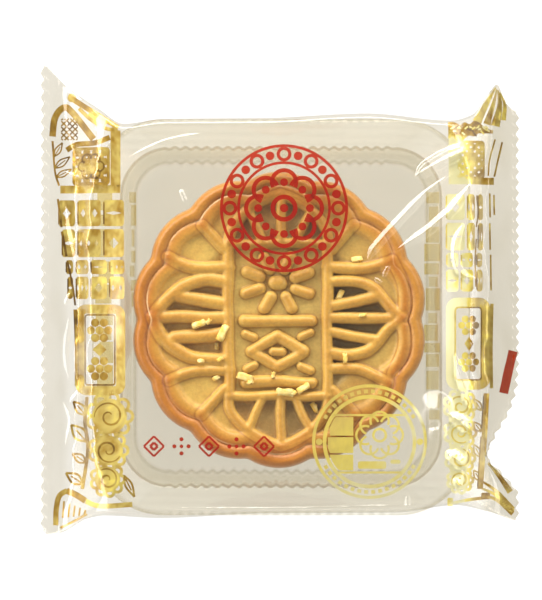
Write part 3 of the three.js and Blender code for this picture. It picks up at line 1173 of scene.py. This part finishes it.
def lay_print(name, bm, level, ink, sink=0.06):
    """Lays flat print on the inside of the film: level 1 is the top, level 0 the underside."""
    mesh = mesh_from(name, bm)
    x, y, tone = spots_of(mesh).T
    carry(mesh, "tone", ink_tone(x, y) + tone)
    put(mesh, on_film(x, y, level, sink))
    rework(mesh, lambda bm: bmesh.ops.remove_doubles(bm, verts=bm.verts, dist=PRINT_WELD * MM))
    show(mesh, ink)


# --- Operators -----------------------------------------------------------------------------------


FLOOR_GAP = 0.03  # the floor lies this much under the film, so that the two don't share a surface
POINTS_PER_MM = 4.17  # of the picture, at the film's top
PICTURE_HEIGHT = 600
CAMERA_DISTANCE = 2500.0


class MOONCAKE_OT_stage(bpy.types.Operator):
    """Adds the floor, the lights and the camera that looks straight down on the pack."""

    bl_idname = "mooncake.stage"
    bl_label = "Stage"

    def execute(self, context):
        scene = context.scene
        settings = scene.mooncake_stage
        bm = bmesh.new()
        just_under = Matrix.Translation((0, 0, -FLOOR_GAP * MM))
        bmesh.ops.create_circle(bm, cap_ends=True, segments=96, radius=2.5, matrix=just_under)
        bmesh.ops.recalc_face_normals(bm, faces=bm.faces)
        floor = new_object("floor", mesh_from("floor", bm))
        # A light table: white acrylic lit from below, which keeps the ground under the clear pack white.
        material, tree, _ = new_material("lit_white_acrylic")
        glow = add(tree, "Emission", {"Color": settings.floor_colour, "Strength": settings.floor_glow})
        card = add(tree, "BsdfDiffuse", {"Color": 0.20})
        both = add(tree, "AddShader", [glow, card])
        add(tree, "OutputMaterial", {"Surface": both})
        floor.data.materials.append(material)

        lamp = bpy.data.lights.new("window", "AREA")
        lamp.size = 0.34
        lamp.energy = settings.window_power
        holder = new_object("window", lamp)
        holder.location = (0.32, 1.0, 0.66)
        holder.rotation_mode = "QUATERNION"
        holder.rotation_quaternion = Vector(holder.location).to_track_quat("Z", "Y")
        holder.visible_glossy = False

        # The room: dim straight above, with a bright low band of windows, brightest at the back. Only
        # steep folds of the film mirror the band.
        world = bpy.data.worlds.new("studio")
        scene.world = world
        world.use_nodes = True
        tree = world.node_tree
        tree.nodes.clear()
        way = add(tree, "TexCoord").outputs["Generated"]
        up = add(tree, "SeparateXYZ", [way]).outputs["Z"]
        stops = ((0.0, 0.35), (0.5, 0.42), (0.8, 0.42), (0.93, 0.3), (1.0, 0.28))
        sky = add(tree, "ValToRGB", [up], stops)
        band = add(tree, "ValToRGB", [up], ((0.10, 0.0), (0.18, 1.0), (0.60, 1.0), (0.70, 0.0)))
        back = add(tree, "VectorMath", [way, (-0.36, 0.93, 0.0)], operation="DOT_PRODUCT")
        towards_back = add(tree, "MapRange", [back, -0.9, 0.9])
        stops = ((0.0, 0.05), (0.33, 0.2), (0.5, 0.38), (0.76, 0.48), (0.87, 0.8), (0.96, 1.0))
        share = add(tree, "ValToRGB", [towards_back], stops)
        windows = add(tree, "Math", [band, share], operation="MULTIPLY")
        power = add(tree, "Math", [windows, settings.band_power, sky], operation="MULTIPLY_ADD")
        room = add(tree, "Background", {"Color": (1.0, 0.99, 0.975), "Strength": power})
        add(tree, "OutputWorld", {"Surface": room})

        camera = bpy.data.cameras.new("camera")
        camera.sensor_width = 36.0
        camera.lens = camera.sensor_width * CAMERA_DISTANCE / (PICTURE_HEIGHT / POINTS_PER_MM)
        camera.clip_end = 10.0
        holder = new_object("camera", camera)
        holder.location = (-2.13 * MM, -0.12 * MM, (25.0 + CAMERA_DISTANCE) * MM)
        scene.camera = holder

        scene.view_settings.view_transform = "Standard"
        scene.cycles.transparent_max_bounces = 48
        scene.cycles.max_bounces = 8
        scene.cycles.use_denoising = True
        scene.cycles.caustics_reflective = False
        scene.cycles.caustics_refractive = False
        return {"FINISHED"}


class MOONCAKE_OT_cake(bpy.types.Operator):
    """Builds the scalloped cake with its moulded top."""

    bl_idname = "mooncake.cake"
    bl_label = "Cake"

    def execute(self, context):
        mesh = settle("mooncake", grid(CAKE_COLUMNS, CAKE_ROWS), cake_skin)
        x, y, z = (spots_of(mesh) / MM).T
        x = x - CAKE_CENTRE[0]
        y = y - CAKE_CENTRE[1]
        e = inset(x, y)
        r = np.hypot(x, y)
        outer = ease(r, 20, 24)
        rim = 0.25 * ease(r, 18, 30) + 0.5 * ease(e, 6.6, 3.6) * outer
        # Darker still towards the front left: painted shade on the rim that faces away from the light.
        rim = rim + 0.35 * ease(-x - 0.7 * y, 0, 40) * ease(e, 5.0, 2.5) * outer
        gap = np.maximum(in_fan(x, y), 1 - ease(r, 15, 21)) * (1 - in_panel(x, y))
        carry(mesh, "relief", np.clip((z - (CAKE_TOP - RELIEF)) / RELIEF, 0, 1))
        carry(mesh, "rim", rim)
        carry(mesh, "gap", gap)
        carry(mesh, "inset", np.where(r > 21, e, LOBE_RADIUS))
        carry(mesh, "crest", stroke_crest(*hand_pressed(x, y)))
        piece = show(mesh, baked_crust(context.scene.mooncake_cake))
        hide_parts("film_pack")
        return {"FINISHED"}


class MOONCAKE_OT_crumbs(bpy.types.Operator):
    """Scatters flakes of crust on the cake's top."""

    bl_idname = "mooncake.crumbs"
    bl_label = "Crumbs"

    # (x, y, length, turn in degrees), round the cake's own centre
    flakes = [
        (18.7, 14.6, 2.6, 5), (14.5, 5.8, 3.0, 60), (20.1, 1.2, 1.7, 10), (-19.2, -1.0, 3.2, 20),
        (-13.5, -3.1, 4.2, 65), (-14.9, -6.2, 1.6, 90), (-18.7, -9.8, 1.4, 0), (-14.1, -9.4, 1.5, 30),
        (-15.1, -13.9, 1.7, 20), (-8.2, -13.7, 4.0, -20), (1.4, -17.3, 4.2, -5), (5.8, -16.3, 3.2, 35),
        (8.6, -21.1, 3.2, -65), (15.8, -9.1, 2.2, 90), (-1.4, -13.2, 1.6, 80), (-17.0, -0.4, 1.5, 50),
        (3.5, -17.6, 1.6, 40), (-6.9, -14.9, 1.5, 10),
    ]

    def execute(self, context):
        chance = random.Random(7)
        flakes = bmesh.new()
        flake = bpy.data.meshes.new("flake")
        nearby = np.array([[0, 0], [0.5, 0], [-0.5, 0], [0, 0.5], [0, -0.5]])
        for x, y, length, turn in self.flakes:
            wide = length * chance.uniform(0.32, 0.48)
            thick = chance.uniform(0.6, 0.95)
            bm = bmesh.new()
            bmesh.ops.create_cube(bm, size=1.0)
            bmesh.ops.subdivide_edges(bm, edges=bm.edges, cuts=2, use_grid_fill=True)
            rest = float(crust_top(*(np.array([x, y]) + nearby).T).max()) + thick * 0.3
            c, s = math.cos(math.radians(turn)), math.sin(math.radians(turn))
            for vert in bm.verts:
                a = vert.co.x * length * (1 - 0.25 * abs(vert.co.y)) + chance.uniform(-0.26, 0.26)
                b = vert.co.y * wide + chance.uniform(-0.22, 0.22)
                z = vert.co.z * thick + chance.uniform(-0.12, 0.12)
                place = (x + a * c - b * s + CAKE_CENTRE[0], y + a * s + b * c + CAKE_CENTRE[1], rest + z)
                vert.co = Vector(place) * MM
            bm.to_mesh(flake)
            bm.free()
            flakes.from_mesh(flake)
        bpy.data.meshes.remove(flake)
        show(settle("crust_crumbs", flakes), crumb_material())
        return {"FINISHED"}


class MOONCAKE_OT_tray(bpy.types.Operator):
    """Forms the clear fluted tray."""

    bl_idname = "mooncake.tray"
    bl_label = "Tray"

    def execute(self, context):
        columns = 2 * (PLAIN_COLUMNS + FLUTED_COLUMNS + 2 * CORNER_COLUMNS)
        mesh = settle("clear_tray", grid(columns, TRAY_ROWS), tray_skin)
        # How far in from the rim each point is, for the painted dark lines along the bends and the painted
        # shade on the floor.
        x, y, _ = (spots_of(mesh) / MM).T
        out_x = np.abs(x - TRAY_MIDDLE[0]) - RIM_HALF[0]
        out_y = np.abs(y - TRAY_MIDDLE[1]) - RIM_HALF[1]
        past = np.hypot(np.maximum(out_x + BEND_CORNER, 0), np.maximum(out_y + BEND_CORNER, 0)) - BEND_CORNER
        in_corner = (out_x > -BEND_CORNER) & (out_y > -BEND_CORNER)
        inward = -np.where(in_corner, past, np.maximum(out_x, out_y))
        wave = FLUTE_DEPTH * np.cos(2 * math.pi * (x - TRAY_MIDDLE[0]) / FLUTE_PITCH)
        fluted = (out_y > out_x) * ease(RIM_HALF[0] - BEND_CORNER - np.abs(x), *FLUTES_FADE)
        section = np.array(TRAY_SECTION)
        carry(mesh, "bend", np.interp(inward + wave * fluted, section[:, 0], section[:, 4]))
        rework(mesh, lambda bm: bmesh.ops.solidify(bm, geom=bm.faces[:], thickness=TRAY_WALL * MM))
        # Thermoformed PET: clear and glossy, darker where it is seen edge-on, with painted dark lines along its
        # bends and painted shade on its floor.
        tint = context.scene.mooncake_film.tray_tint
        material = clear_sheet("thermoformed_pet", tint, 3, 0.03, 4.5455, 0.03 * MM)
        piece = show(mesh, material)
        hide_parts("film_pack")
        return {"FINISHED"}


FILM_ACROSS = 118
FILM_WALL = 4
FILM_AROUND = 2 * FILM_ACROSS + 2 * FILM_WALL
FILM_ALONG = 132
END_CROWDING = 0.35  # how much closer together stations lie towards the seals, where the film bends most


def film_skin(u, v):
    """A point of the film tube: u goes round it from the back edge, v from the -X seal to the +X seal."""
    step = u * FILM_AROUND
    over = np.clip(step / FILM_ACROSS, 0, 1)
    down = np.clip((step - FILM_ACROSS) / FILM_WALL, 0, 1)
    beneath = np.clip((step - FILM_ACROSS - FILM_WALL) / FILM_ACROSS, 0, 1)
    up = np.clip((step - 2 * FILM_ACROSS - FILM_WALL) / FILM_WALL, 0, 1)
    side = 1 - 2 * over + 2 * beneath

    reach = 2 * v - 1
    station = HALF_LENGTH * ((1 + END_CROWDING) * reach - END_CROWDING * reach**3)
    at_end = np.abs(reach) > 1 - 1e-6
    level = np.where(at_end, 0.5, 1 - down + up)
    x, y, z = skin(station, side, level)
    tooth = np.abs((side * EAR_REACH / TOOTH_PITCH) % 1 - 0.5) * 2
    x = x - np.sign(x) * TOOTH_DEPTH * tooth * ease(np.abs(station), HALF_LENGTH - 3, HALF_LENGTH)
    return x, y, z


class MOONCAKE_OT_film(bpy.types.Operator):
    """Wraps the tray in the sealed film."""

    bl_idname = "mooncake.film"
    bl_label = "Film"

    def execute(self, context):
        bm = grid(FILM_AROUND, FILM_ALONG)
        # Finer near the seals and the long edges, and finer again along the creases.
        for margin, first in ((1.2, True), (0.35, False)):
            faces = list(bm.faces)
            u, v = np.array([face.calc_center_median().xy for face in faces]).T + 0.5
            x, y, _ = film_skin(u, v)
            on_top = u < FILM_ACROSS / FILM_AROUND
            wanted = np.zeros(len(faces), bool)
            for away, reach, near in crease_places(x, y):
                wanted[np.flatnonzero(near)[away < reach + margin]] = True
            wanted &= on_top
            if first:
                from_middle = np.abs(u * FILM_AROUND / FILM_ACROSS - 0.5)
                wanted |= on_top & ((np.abs(x) > 38) | (from_middle > 0.46)) | (np.abs(2 * v - 1) > 0.86)
            edges = {edge for face, fine in zip(faces, wanted) if fine for edge in face.edges}
            bmesh.ops.subdivide_edges(bm, edges=list(edges), cuts=1, use_grid_fill=True)
        mesh = settle("film_wrap", bm, film_skin)
        # The pressed seals and the crumples beside them look duller.
        x, y, _ = (spots_of(mesh) / MM).T
        dull = 0.43 * ease(x, 47.5, 50.5) + 0.24 * ease(x, -50, -53) + 0.08 * ease(y, 30, 38)
        # Fine lines run along the stretched long sides, and haze lies over all of it.
        stretched = ease(np.abs(y + 4), 36, 41) * ease(np.abs(x), 44, 38)
        dull = dull + 0.07 * stretched * (1 + np.sin(2.9 * y + 1.2 * np.sin(x / 21)))
        dull = dull + 0.03 * (1 + waver(x * 0.6, y, 7, 33))
        dull = dull + 0.16 * ease(np.abs(x), 44, 48) * np.maximum(waver(x, y * 0.5, 4.0, 9), 0)
        carry(mesh, "bend", dull)
        # Oriented polypropylene film: clear and very glossy, with faint ripples.
        tint = context.scene.mooncake_film.film_tint
        material = clear_sheet("clear_polypropylene_film", tint, 1.9, 0.085, 6.25, 0.04 * MM)
        piece = show(mesh, material)
        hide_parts("film_pack")
        return {"FINISHED"}


# The gold bands: (tool, tone, what the tool asks for), where the tone is painted reflection. Fields lie under
# the fine lines.
LEFT_FIELDS = [
    (dot, -0.1, (-50.1, 48.6), 1.1),
    (line, -0.12, [(-49.6, 48.0), (-45.0, 45.1), (-38.8, 41.3)], 1.3),
    (line, -0.05, [(-48.4, 46.0), (-45.4, 43.2), (-41.6, 41.0), (-38.9, 41.0)], 0.9),
    (line, 0.2, [(-46.2, 44.4), (-41.8, 42.0)], 1.3),
    (line, -0.08, [(-54.8, 39.3), (-54.2, 43.8), (-52.2, 46.2), (-50.2, 45.2), (-44.8, 38.5)], 1.6),
    (line, -0.2, [(-54.8, 38.2), (-54.2, 31.0), (-53.2, 27.4)], 0.5),
    (line, -0.18, [(-51.4, 36.0), (-49.0, 37.3), (-44.6, 37.6), (-40.8, 38.9)], 1.3),
    (line, -0.02, [(-39.45, 40.6), (-39.45, 27.0)], 2.4),
    (line, 0.0, [(-52.9, 26.5), (-38.3, 26.5)], 1.9),
    (lattice, -0.03, (-45.4, 32.0), 3.9, 3.9, 2.2, 1.15),
    (frame_line, -0.05, (-45.4, 32.0), 4.2, 4.2, 0.6, 0.8),
    (dot, 0.05, (-45.4, 32.0), 1.9),
    (frame_line, 0.0, (-43.2, -12.1), 5.0, 9.8, 1.5, 2.2),
    (line, -0.22, [(-49.2, -2.4), (-48.9, -12.0), (-48.9, -20.8)], 1.1),
    *[(posy, -0.08, (-43.3, y), 2.1, 1.0, 6) for y in (-7.4, -16.6)],
    *[(dot, 0.0, (-43.3, y), 1.0) for y in (-7.4, -16.6)],
    *[(wedge, -0.05, [(-43.3, -12.0), (-43.3, -12.0 + reach)], 3.4, 0.2) for reach in (1.5, -1.5)],
    (line, -0.2, [(-46.4, -23.4), (-46.9, -29.5), (-46.2, -36.0), (-47.6, -45.6)], 0.9),
    (leaf, -0.12, (-46.7, -27.8), (-49.8, -24.6), 1.1, 0.5),
    (leaf, -0.08, (-46.6, -34.2), (-50.3, -30.2), 1.5, 0.55),
    (leaf, -0.15, (-46.6, -39.2), (-50.0, -37.2), 1.0, 0.5),
    (leaf, -0.1, (-47.4, -44.4), (-51.6, -41.8), 1.2, 0.55),
    (line, -0.1, [(-54.0, -54.4), (-53.9, -50.6), (-53.1, -47.3), (-51.2, -46.0)], 1.3),
    (line, -0.22, [(-51.4, -46.1), (-49.2, -47.0), (-46.8, -48.4)], 1.5),
    (line, 0.12, [(-46.8, -48.5), (-43.2, -49.6), (-35.4, -49.2)], 1.2),
    *[(line, -0.14, [(-52.0 + 1.3 * k, -48.6 - 0.5 * k), (-52.3 + 1.3 * k, -52.6 + 0.15 * k)], 0.45)
      for k in range(5)],
    (line, -0.05, [(-52.9, -55.0), (-49.6, -53.4), (-46.4, -51.6)], 0.6),
    (leaf, -0.1, (-37.4, -42.2), (-34.9, -47.4), 0.8, 0.5),
]
LEFT_LINES = [
    (lattice, -0.22, (-50.7, 41.0), 2.0, 2.6, 1.4, 0.35),
    (leaf, -0.2, (-54.0, 29.4), (-50.2, 31.4), 0.7, 0.35),
    (leaf, -0.15, (-54.3, 31.6), (-50.6, 34.4), 0.8, 0.35),
    (leaf, -0.2, (-54.4, 34.4), (-52.4, 37.8), 0.7, 0.35),
    (blossom, -0.3, (-45.4, 32.0), 2.0, 1.2, 6, 0.4),
    (line, -0.35, [(-53.5, 24.2), (-52.6, 17.4)], 0.5),
    (line, -0.4, [(-52.5, 16.4), (-51.4, 10.4)], 0.6),
    (line, -0.3, [(-51.2, 9.4), (-49.9, 3.2), (-49.3, -1.4)], 0.45),
    (frame_line, -0.3, (-43.2, -12.1), 3.6, 8.4, 0.6, 0.4),
]
RIGHT_FIELDS = [
    (wedge, 0.06, [(52.0, 51.0), (49.6, 46.8), (47.4, 42.6)], 0.4, 2.3),
    (wedge, -0.04, [(52.3, 50.6), (51.4, 46.8), (49.9, 42.2)], 0.3, 1.8),
    (wedge, -0.1, [(52.6, 50.4), (53.0, 46.6), (51.9, 41.8)], 0.4, 2.2),
    (wedge, 0.02, [(53.0, 49.8), (54.2, 47.0), (53.9, 43.2)], 0.4, 1.2),
    (line, -0.05, [(41.7, 40.6), (41.7, 29.3)], 2.4),
    (line, -0.05, [(40.5, 28.5), (51.6, 28.5)], 1.7),
    (line, -0.1, [(53.6, 37.9), (52.6, 33.6), (51.7, 29.6)], 0.45),
    (line, -0.05, [(51.9, 38.6), (50.6, 33.6), (50.3, 29.8)], 0.4),
    (lattice, -0.12, (45.9, 33.6), 2.9, 4.0, 2.0, 0.9),
    (frame_line, -0.1, (45.9, 33.6), 3.2, 4.3, 0.6, 0.6),
    (dot, -0.05, (45.9, 33.6), 1.4),
    (frame_line, 0.02, (45.3, -10.6), 4.3, 9.9, 1.6, 2.3),
    (line, -0.05, [(51.1, -1.0), (50.9, -11.0), (51.0, -21.4)], 0.8),
    *[(posy, tone, (45.4, y), 1.75, 0.85, 6) for y, tone in ((-6.2, -0.35), (-15.0, -0.3))],
    *[(dot, -0.2, (45.4, y), 0.85) for y in (-6.2, -15.0)],
    *[(wedge, -0.3, [(45.4, -10.6), (45.4, -10.6 + reach)], 2.2, 0.2) for reach in (1.6, -1.6)],
    *[(line, -0.05, [(x, top), (x + 0.1, bottom)], 0.4) for x, top, bottom in (
        (50.6, 25.6, 19.8), (51.6, 25.2, 20.4), (50.6, 18.4, 12.0), (50.8, 10.8, 2.2))],
    (line, -0.08, [(49.8, -22.6), (49.2, -34), (48.2, -45.6)], 1.4),
    *[(leaf, -0.1, (48.6 - 0.1 * k, y), (46.6, y + lift), 0.8, 0.4) for k, (y, lift) in enumerate(
        [(-26.8, 3.0), (-31.8, 2.4), (-38.0, 3.2), (-43.6, 2.6)])],
    (line, -0.05, [(41.4, -49.0), (45.0, -48.2), (49.6, -47.7)], 0.8),
    (plate, -0.25, (40.9, -48.6), 0.7, 1.0, 0.3),
    (plate, -0.25, (49.6, -47.3), 1.1, 0.8, 0.3),
    (wedge, -0.05, [(50.2, -39.4), (52.6, -42.2), (55.6, -46.4)], 0.5, 1.6),
    *[(wedge, tone, [(48.8, -43.8 - drop), (52.2, -46.2 - 0.6 * drop), (56.2, -50.6 - 0.3 * drop)], 0.5, 1.3)
      for drop, tone in ((0.0, -0.05), (1.7, 0.1), (3.4, -0.12))],
]
RIGHT_LINES = [
    (frame_line, -0.45, (45.3, -10.6), 3.2, 8.7, 0.8, 0.4),
    (line, -0.3, [(47.4, 25.0), (47.7, 21.0), (47.2, 17.4)], 0.4),
    (line, -0.25, [(47.3, 14.6), (46.9, 9.0), (47.1, 3.0)], 0.4),
    (line, -0.35, [(49.1, -23.2), (48.6, -31)], 0.35),
    (line, -0.3, [(48.4, -33), (47.6, -45.0)], 0.35),
]
# Scrolled discs down both bands: (centre, radius, where the scroll starts).
DISCS = [
    ((-40.9, -28.0), 4.6, 40), ((-41.2, -36.2), 3.9, 190), ((-41.4, -43.2), 3.4, 340),
    ((43.3, -25.6), 3.3, 30), ((43.3, -32.0), 3.2, 160), ((43.3, -38.2), 3.0, 290), ((43.3, -43.4), 2.6, 60),
]
# The crumpled back corner, where the ink lies in heaps, printed darker as painted shade: (x, lower edge, upper
# edge).
CRUMPLE = [
    (40.4, 38.6, 43.0), (41.4, 38.9, 42.8), (42.4, 38.2, 42.4), (43.4, 37.9, 42.0), (44.4, 38.6, 42.6),
    (45.6, 39.4, 42.2), (46.8, 39.2, 43.0), (48.0, 40.0, 42.6), (49.4, 40.0, 41.4), (51.4, 40.0, 40.8),
]
# Rows of tiles in both bands: (columns, rows, how much the first column narrows per millimetre).
TILES = [
    ([(-53.4, -49.3), (-48.8, -43.0), (-42.4, -37.4)], [(23.9, 17.6), (16.9, 10.2)], 0.12),
    ([(-51.6, -49.8), (-49.2, -46.0), (-45.5, -41.5), (-41.0, -37.3)], [(9.5, 6.1), (5.5, 0.1)], 0.1),
    ([(39.8, 44.4), (44.9, 46.9), (47.6, 49.0)], [(25.3, 19.1), (18.4, 11.8)], 0.0),
    ([(39.9, 42.9), (43.4, 46.4), (47.2, 48.8)], [(11.2, 7.8), (7.2, 1.9)], 0.0),
]
# Loose blocks on the underside: (left, right, how tall a block is about, how many).
UNDERSIDE_BLOCKS = [(-44.6, -40.2, 6.2, 9), (-36.6, -34.4, 5.4, 5), (34.9, 38.9, 5.0, 11)]
UNDERSIDE_TOP = 26.0


class MOONCAKE_OT_gold_bands(bpy.types.Operator):
    """Prints the gold bands near both seals, on the film's top and underside."""

    bl_idname = "mooncake.gold_bands"
    bl_label = "Gold bands"

    def execute(self, context):
        settings = context.scene.mooncake_print
        bm = bmesh.new()
        fine = bmesh.new()
        draw(bm, LEFT_FIELDS + RIGHT_FIELDS)
        draw(fine, LEFT_LINES + RIGHT_LINES)
        for columns, rows, lean in TILES:
            tile_rows(bm, fine, columns, rows, lean)
        for centre, radius, start in DISCS:
            # Painted reflection: the discs and scrolls are darker on the right band than on the left.
            tone, fine_tone = (0.0, -0.45) if centre[0] > 0 else (0.1, -0.2)
            plate(bm, centre, radius * 0.92, radius * 0.92, radius, tone)
            blossom(bm, centre, radius * 0.92, radius * 0.3, 9, 0.75, tone)
            scroll(fine, centre, radius * 0.8, start, 1.4, 0.5, fine_tone)
        x = np.linspace(CRUMPLE[0][0], CRUMPLE[-1][0], 40)
        low, high = [through([(row[0], row[k]) for row in CRUMPLE], x) for k in (1, 2)]
        field(bm, x, low, np.minimum(high, through(BACK_EDGE, x) - 0.3), -0.28)
        chance = random.Random(11)
        # Short lines over the crumple, lighter and darker: painted glints and dark reflections.
        for k in range(26):
            x = 40.8 + 0.36 * k
            y = 40.6 + chance.uniform(-0.6, 1.6)
            lean = chance.uniform(-0.9, 0.9)
            tone = chance.choice((-0.45, 0.45, -0.3, 0.3))
            line(fine, [(x, y), (x + 0.8, y + lean)], 0.4, tone)
        lay_print("gold_bands_top", bm, 1, gold_ink(settings, 1.0))
        lay_print("gold_lines_top", fine, 1, gold_ink(settings, 1.0), 0.03)

        bm = bmesh.new()
        for left, right, pitch, count in UNDERSIDE_BLOCKS:
            top = UNDERSIDE_TOP
            while top > UNDERSIDE_TOP - pitch * count:
                tall = pitch * chance.uniform(0.45, 1.1)
                ends = (left + chance.uniform(0, 1.3), right - chance.uniform(0, 0.9))
                line(bm, [(x, top - tall / 2) for x in ends], tall)
                top -= tall + chance.uniform(0.3, 1.0)
        lay_print("gold_bands_underside", bm, 0, gold_ink(settings, 0.2))
        return {"FINISHED"}


SEAL_CENTRE = (21.5, -34.1)
SEAL_OUTER = 13.4
SEAL_INNER = 10.8


def on_seal(x, y):
    """A place given from the seal's middle."""
    return SEAL_CENTRE[0] + x, SEAL_CENTRE[1] + y


class MOONCAKE_OT_gold_seal(bpy.types.Operator):
    """Prints the round gold seal over the cake's edge."""

    bl_idname = "mooncake.gold_seal"
    bl_label = "Gold seal"

    def execute(self, context):
        bm = bmesh.new()
        ring(bm, SEAL_CENTRE, SEAL_OUTER, 0.75, 0.1)
        ring(bm, SEAL_CENTRE, SEAL_INNER, 0.9, 0.08)
        # Dots and dashes between the rings, and a blossom inside them.
        middle = (SEAL_OUTER + SEAL_INNER) / 2
        for x in (middle, -middle):
            dot(bm, on_seal(x, 0), 0.8)
        for turn in [*range(28, 153, 8), *range(208, 333, 8)]:
            arc(bm, SEAL_CENTRE, middle, turn, turn + 4.5, 0.9)
        blossom(bm, on_seal(2.4, 1.6), 3.4, 2.2, 8, 0.55)
        ring(bm, on_seal(2.4, 1.6), 1.5, 0.6)
        # A solid field fills the left of the ring, in three blocks.
        for low, high in ((-6.9, -3.1), (-2.7, 1.1), (1.5, 5.9)):
            x = np.linspace(-10.0, -3.9, 14)
            reach = np.sqrt((SEAL_INNER - 0.7) ** 2 - x**2)
            under, over = np.clip(-reach, low, high), np.clip(reach, low, high)
            seen = over - under > 0.2
            x, over = on_seal(x, over)
            field(bm, x[seen], SEAL_CENTRE[1] + under[seen], over[seen])
        plate(bm, on_seal(0.6, -5.6), 3.4, 0.9, 0.5)
        plate(bm, on_seal(6.2, -4.8), 1.2, 0.5, 0.4)
        line(bm, [on_seal(-8.6, 6.4), on_seal(8.4, 6.4)], 0.5)
        line(bm, [on_seal(-7.6, -7.4), on_seal(7.6, -7.4)], 0.5)
        lay_print("gold_seal", bm, 1, gold_ink(context.scene.mooncake_print, 0.88))
        return {"FINISHED"}


MEDALLION_CENTRE = (1.0, 21.9)


class MOONCAKE_OT_red_print(bpy.types.Operator):
    """Prints the red medallion, the red bars under it and the red field on the seal."""

    bl_idname = "mooncake.red_print"
    bl_label = "Red print"

    def execute(self, context):
        red = red_ink(context.scene.mooncake_print)
        bm = bmesh.new()
        ring(bm, MEDALLION_CENTRE, 15.0, 0.7)
        ring(bm, MEDALLION_CENTRE, 10.9, 0.65)
        for k in range(12):
            ring(bm, polar(MEDALLION_CENTRE, 13.0, math.radians(30 * k)), 1.4, 0.8)
            dot(bm, polar(MEDALLION_CENTRE, 13.0, math.radians(30 * k + 15)), 1.05)
        posy(bm, MEDALLION_CENTRE, 6.2, 0.95, 8)
        blossom(bm, MEDALLION_CENTRE, 6.2, 2.9, 8, 1.0)
        ring(bm, MEDALLION_CENTRE, 2.7, 1.1)
        dot(bm, MEDALLION_CENTRE, 1.0)
        lay_print("red_medallion", bm, 1, red)

        # A row of dot flowers and nested lozenges.
        bm = bmesh.new()
        for k in range(5):
            x, y = -30.2 + 6.6 * k, -35.2
            if k % 2:
                posy(bm, (x, y), 1.7, 0.5, 4)
                dot(bm, (x, y), 0.45)
                continue
            for reach, width in ((2.4, 0.5), (0.9, 0.6)):
                corners = [(x - reach, y), (x, y + reach), (x + reach, y), (x, y - reach)]
                for a, b in zip(corners, corners[1:] + corners[:1]):
                    line(bm, [a, b], width)
        lay_print("red_bars", bm, 1, red)

        bm = bmesh.new()
        line(bm, [(53.9, -22.6), (55.0, -17.5), (56.2, -12.4)], 2.2)
        lay_print("red_seal_field", bm, 1, red)
        return {"FINISHED"}


STEPS = [
    MOONCAKE_OT_stage,
    MOONCAKE_OT_cake,
    MOONCAKE_OT_crumbs,
    MOONCAKE_OT_tray,
    MOONCAKE_OT_film,
    MOONCAKE_OT_gold_bands,
    MOONCAKE_OT_gold_seal,
    MOONCAKE_OT_red_print,
]


class MOONCAKE_PT_steps(bpy.types.Panel):
    """Lists the steps that build the mooncake."""

    bl_idname = "MOONCAKE_PT_steps"
    bl_label = "Mooncake"
    bl_space_type = "VIEW_3D"
    bl_region_type = "UI"
    bl_category = "Mooncake"

    def draw(self, context):
        for step in STEPS:
            self.layout.operator(step.bl_idname)


def register():
    """Registers the settings, the steps and the panel."""
    for name, group in SETTINGS.items():
        bpy.utils.register_class(group)
        setattr(bpy.types.Scene, name, PointerProperty(type=group))
    for step in STEPS + [MOONCAKE_PT_steps]:
        bpy.utils.register_class(step)


def unregister():
    """Takes away what register() adds."""
    for step in reversed(STEPS + [MOONCAKE_PT_steps]):
        bpy.utils.unregister_class(step)
    for name, group in SETTINGS.items():
        delattr(bpy.types.Scene, name)
        bpy.utils.unregister_class(group)


def main():
    """Builds everything in order."""
    register()
    for step in STEPS:
        group, name = step.bl_idname.split(".")
        getattr(getattr(bpy.ops, group), name)()


if __name__ == "__main__":
    main()
